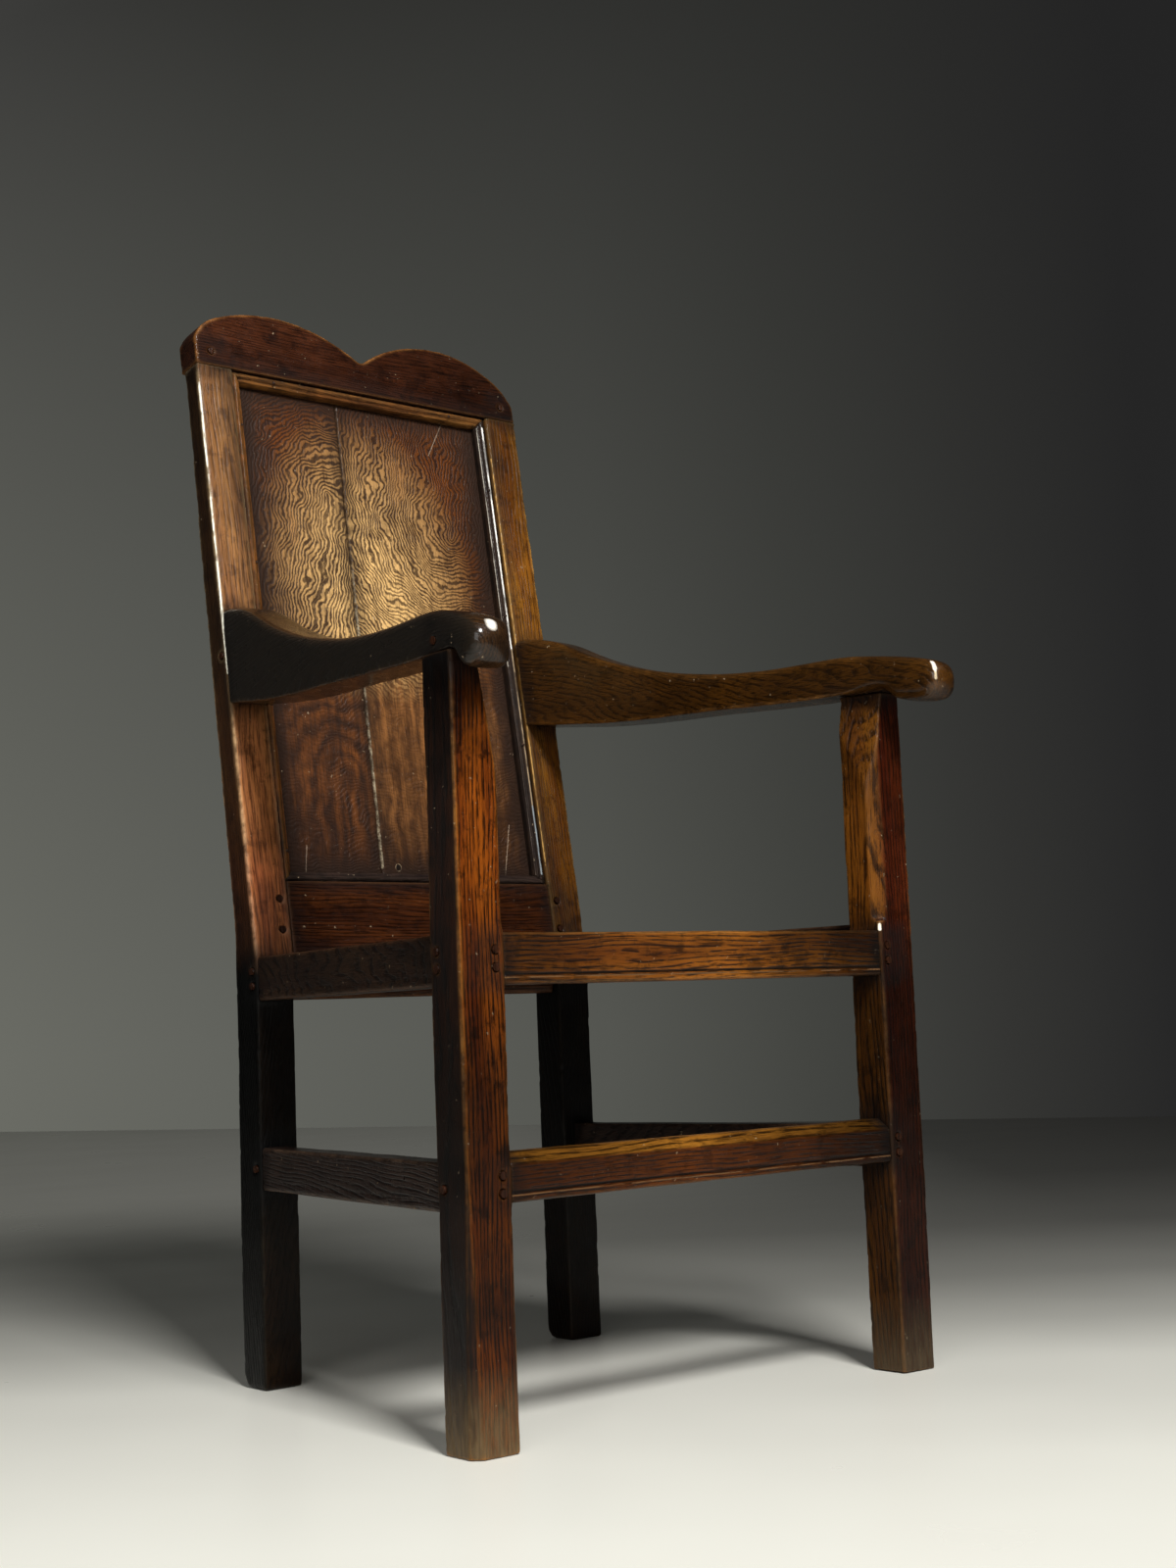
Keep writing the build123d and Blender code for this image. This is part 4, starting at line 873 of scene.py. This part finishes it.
nails.modifiers.remove(row)
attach(nails, "root")


# ---------------------------------------------------------------- stage, light and camera

def sheet(name, corners, material):
    """One flat face through four corners, as part of the stage."""
    mesh = bpy.data.meshes.new(name)
    mesh.from_pydata(corners, [], [(0, 1, 2, 3)])
    mesh.materials.append(material)
    item = bpy.data.objects.new(name, mesh)
    collection.objects.link(item)
    return item


def reading(tree, place, direction, origin, end):
    """Place along a direction, from 0 at origin to 1 at end, in metres."""
    value = add(tree, "ShaderNodeVectorMath", (place, direction), operation="DOT_PRODUCT")
    return add(tree, "ShaderNodeMapRange", (value, origin, end))


# Sealed floor paint, satin, with a painted fall of light: pale in front of the chair and darker further back,
# most of all on the right
floor_paint, tree, shader = new_material("satin_floor_paint")
node = partial(add, tree)
place = node("ShaderNodeTexCoord").outputs["Object"]
away, aside = (0.6408, 0.7677, 0.0), (0.7677, -0.6408, 0.0)     # as the camera looks, and to its right
depth = reading(tree, place, away, -1.0, 5.0)
left_tone = node("ShaderNodeValToRGB", {"Fac": depth}, stops=[
    (0.0, 0.76), (0.1, 0.82), (0.17, 0.81), (0.215, 0.54), (0.28, 0.33), (0.385, 0.20), (0.45, 0.23),
    (0.6, 0.40), (1.0, 0.60),
])
right_tone = node("ShaderNodeValToRGB", {"Fac": depth}, stops=[
    (0.0, 0.73), (0.1, 0.77), (0.17, 0.76), (0.215, 0.50), (0.28, 0.28), (0.385, 0.14), (0.45, 0.12),
    (0.55, 0.09), (1.0, 0.10),
])
grey = coated(tree, left_tone, (right_tone, reading(tree, place, aside, -0.3, 0.9)))
tinted = {"Factor": 1.0, "A": grey, "B": "#fffdf1"}
marks = node("ShaderNodeTexNoise", {"Vector": place, "Scale": 3.0, "Detail": 5.0})
# a little light of its own close to the camera, where the floor is nearly white
seen = node("ShaderNodeLightPath").outputs["Is Camera Ray"]
close = node("ShaderNodeMapRange", (depth, 0.15, 0.06, 0.0, 0.1))
fill(shader, {
    "Base Color": node("ShaderNodeMix", tinted, data_type="RGBA", blend_type="MULTIPLY"),
    "Roughness": node("ShaderNodeMapRange", (marks, 0.3, 0.7, 0.27, 0.34)),
    "Emission Color": "#fffff2",
    "Emission Strength": node("ShaderNodeMath", (seen, close), operation="MULTIPLY"),
})
sheet("floor", [(-9, -9, 0), (12, -9, 0), (12, 12, 0), (-9, 12, 0)], floor_paint)

# Matt wall paint in a dim room, drawn as a painted glow that only the eye and a gloss see: a slow fall of light
# from the lower left
wall_left, wall_right = Vector((2.248, 6.383, 0.0)), Vector((4.006, 2.046, 0.0))
wall_run = (wall_right - wall_left).normalized()
wall_up = Vector((0, 0, 7))
wall_paint, tree, shader = new_material("matt_wall_paint")
node = partial(add, tree)
place = node("ShaderNodeTexCoord").outputs["Object"]
start = wall_left.dot(wall_run)
along_wall = reading(tree, place, wall_run, start, start + 5.0)
low_tone = node("ShaderNodeValToRGB", {"Fac": along_wall}, stops=[
    (0.0, "#6a6b64"), (0.2, "#63645e"), (0.56, "#545550"), (0.7, "#444541"), (0.84, "#343432"),
    (0.94, "#272727"),
])
high_tone = node("ShaderNodeValToRGB", {"Fac": along_wall}, stops=[
    (0.0, "#3c3c3a"), (0.3, "#2d2d2b"), (0.56, "#272726"), (0.7, "#262625"), (0.94, "#232323"),
])
height = node("ShaderNodeSeparateXYZ", {"Vector": place}).outputs["Z"]
ray = node("ShaderNodeLightPath").outputs
seen = node("ShaderNodeMath", (ray["Is Camera Ray"], ray["Is Glossy Ray"]), operation="MAXIMUM")
fill(shader, {
    "Base Color": "#000000",
    "Roughness": 1.0,
    "Specular IOR Level": 0.0,
    "Emission Color": coated(tree, low_tone, (high_tone, node("ShaderNodeMapRange", (height, 0.3, 4.65)))),
    "Emission Strength": seen,
})
wall_ends = [wall_left - wall_run * 8, wall_left + wall_run * 12]
sheet("wall", [*wall_ends, wall_ends[1] + wall_up, wall_ends[0] + wall_up], wall_paint)

middle = Vector((0.0, 0.05, 0.6))
lamp_distance = 4.2


def lamp(name, turn, rise, size, power):
    """A soft square lamp aimed at the middle of the chair, turned from its front to its left and raised."""
    turn, rise = radians(turn), radians(rise)
    light = bpy.data.lights.new(name, "AREA")
    light.size = size
    light.energy = power
    item = bpy.data.objects.new(name, light)
    item.location = middle + Vector((-sin(turn) * cos(rise), -cos(turn) * cos(rise), sin(rise))) * lamp_distance
    item.rotation_euler = (item.location - middle).to_track_quat("Z", "Y").to_euler()
    collection.objects.link(item)


# a white face that looks forward is just white under the key
lamp("key", turn=17, rise=42, size=1.0, power=250.0)
lamp("fill", turn=52, rise=18, size=2.0, power=40.0)

world = bpy.data.worlds.new("room")
bpy.context.scene.world = world
world.use_nodes = True
fill(world.node_tree.nodes["Background"], {"Color": "#8d9090", "Strength": 0.1})

camera = bpy.data.objects.new("camera", bpy.data.cameras.new("camera"))
collection.objects.link(camera)
camera.data.sensor_fit = "HORIZONTAL"
camera.data.sensor_width = 36.0
camera.data.lens = 63.457
camera.data.clip_end = 60.0
axis_right = Vector((0.7699379, -0.63688458, -0.03966955))
axis_up = Vector((-0.04180588, -0.11237718, 0.9927858))
axes = Matrix((axis_right, axis_up, axis_right.cross(axis_up))).transposed()
camera.matrix_world = Matrix.Translation((-1.30286, -1.65043, 0.35246)) @ axes.to_4x4()
bpy.context.scene.camera = camera
bpy.context.scene.view_settings.view_transform = "Standard"
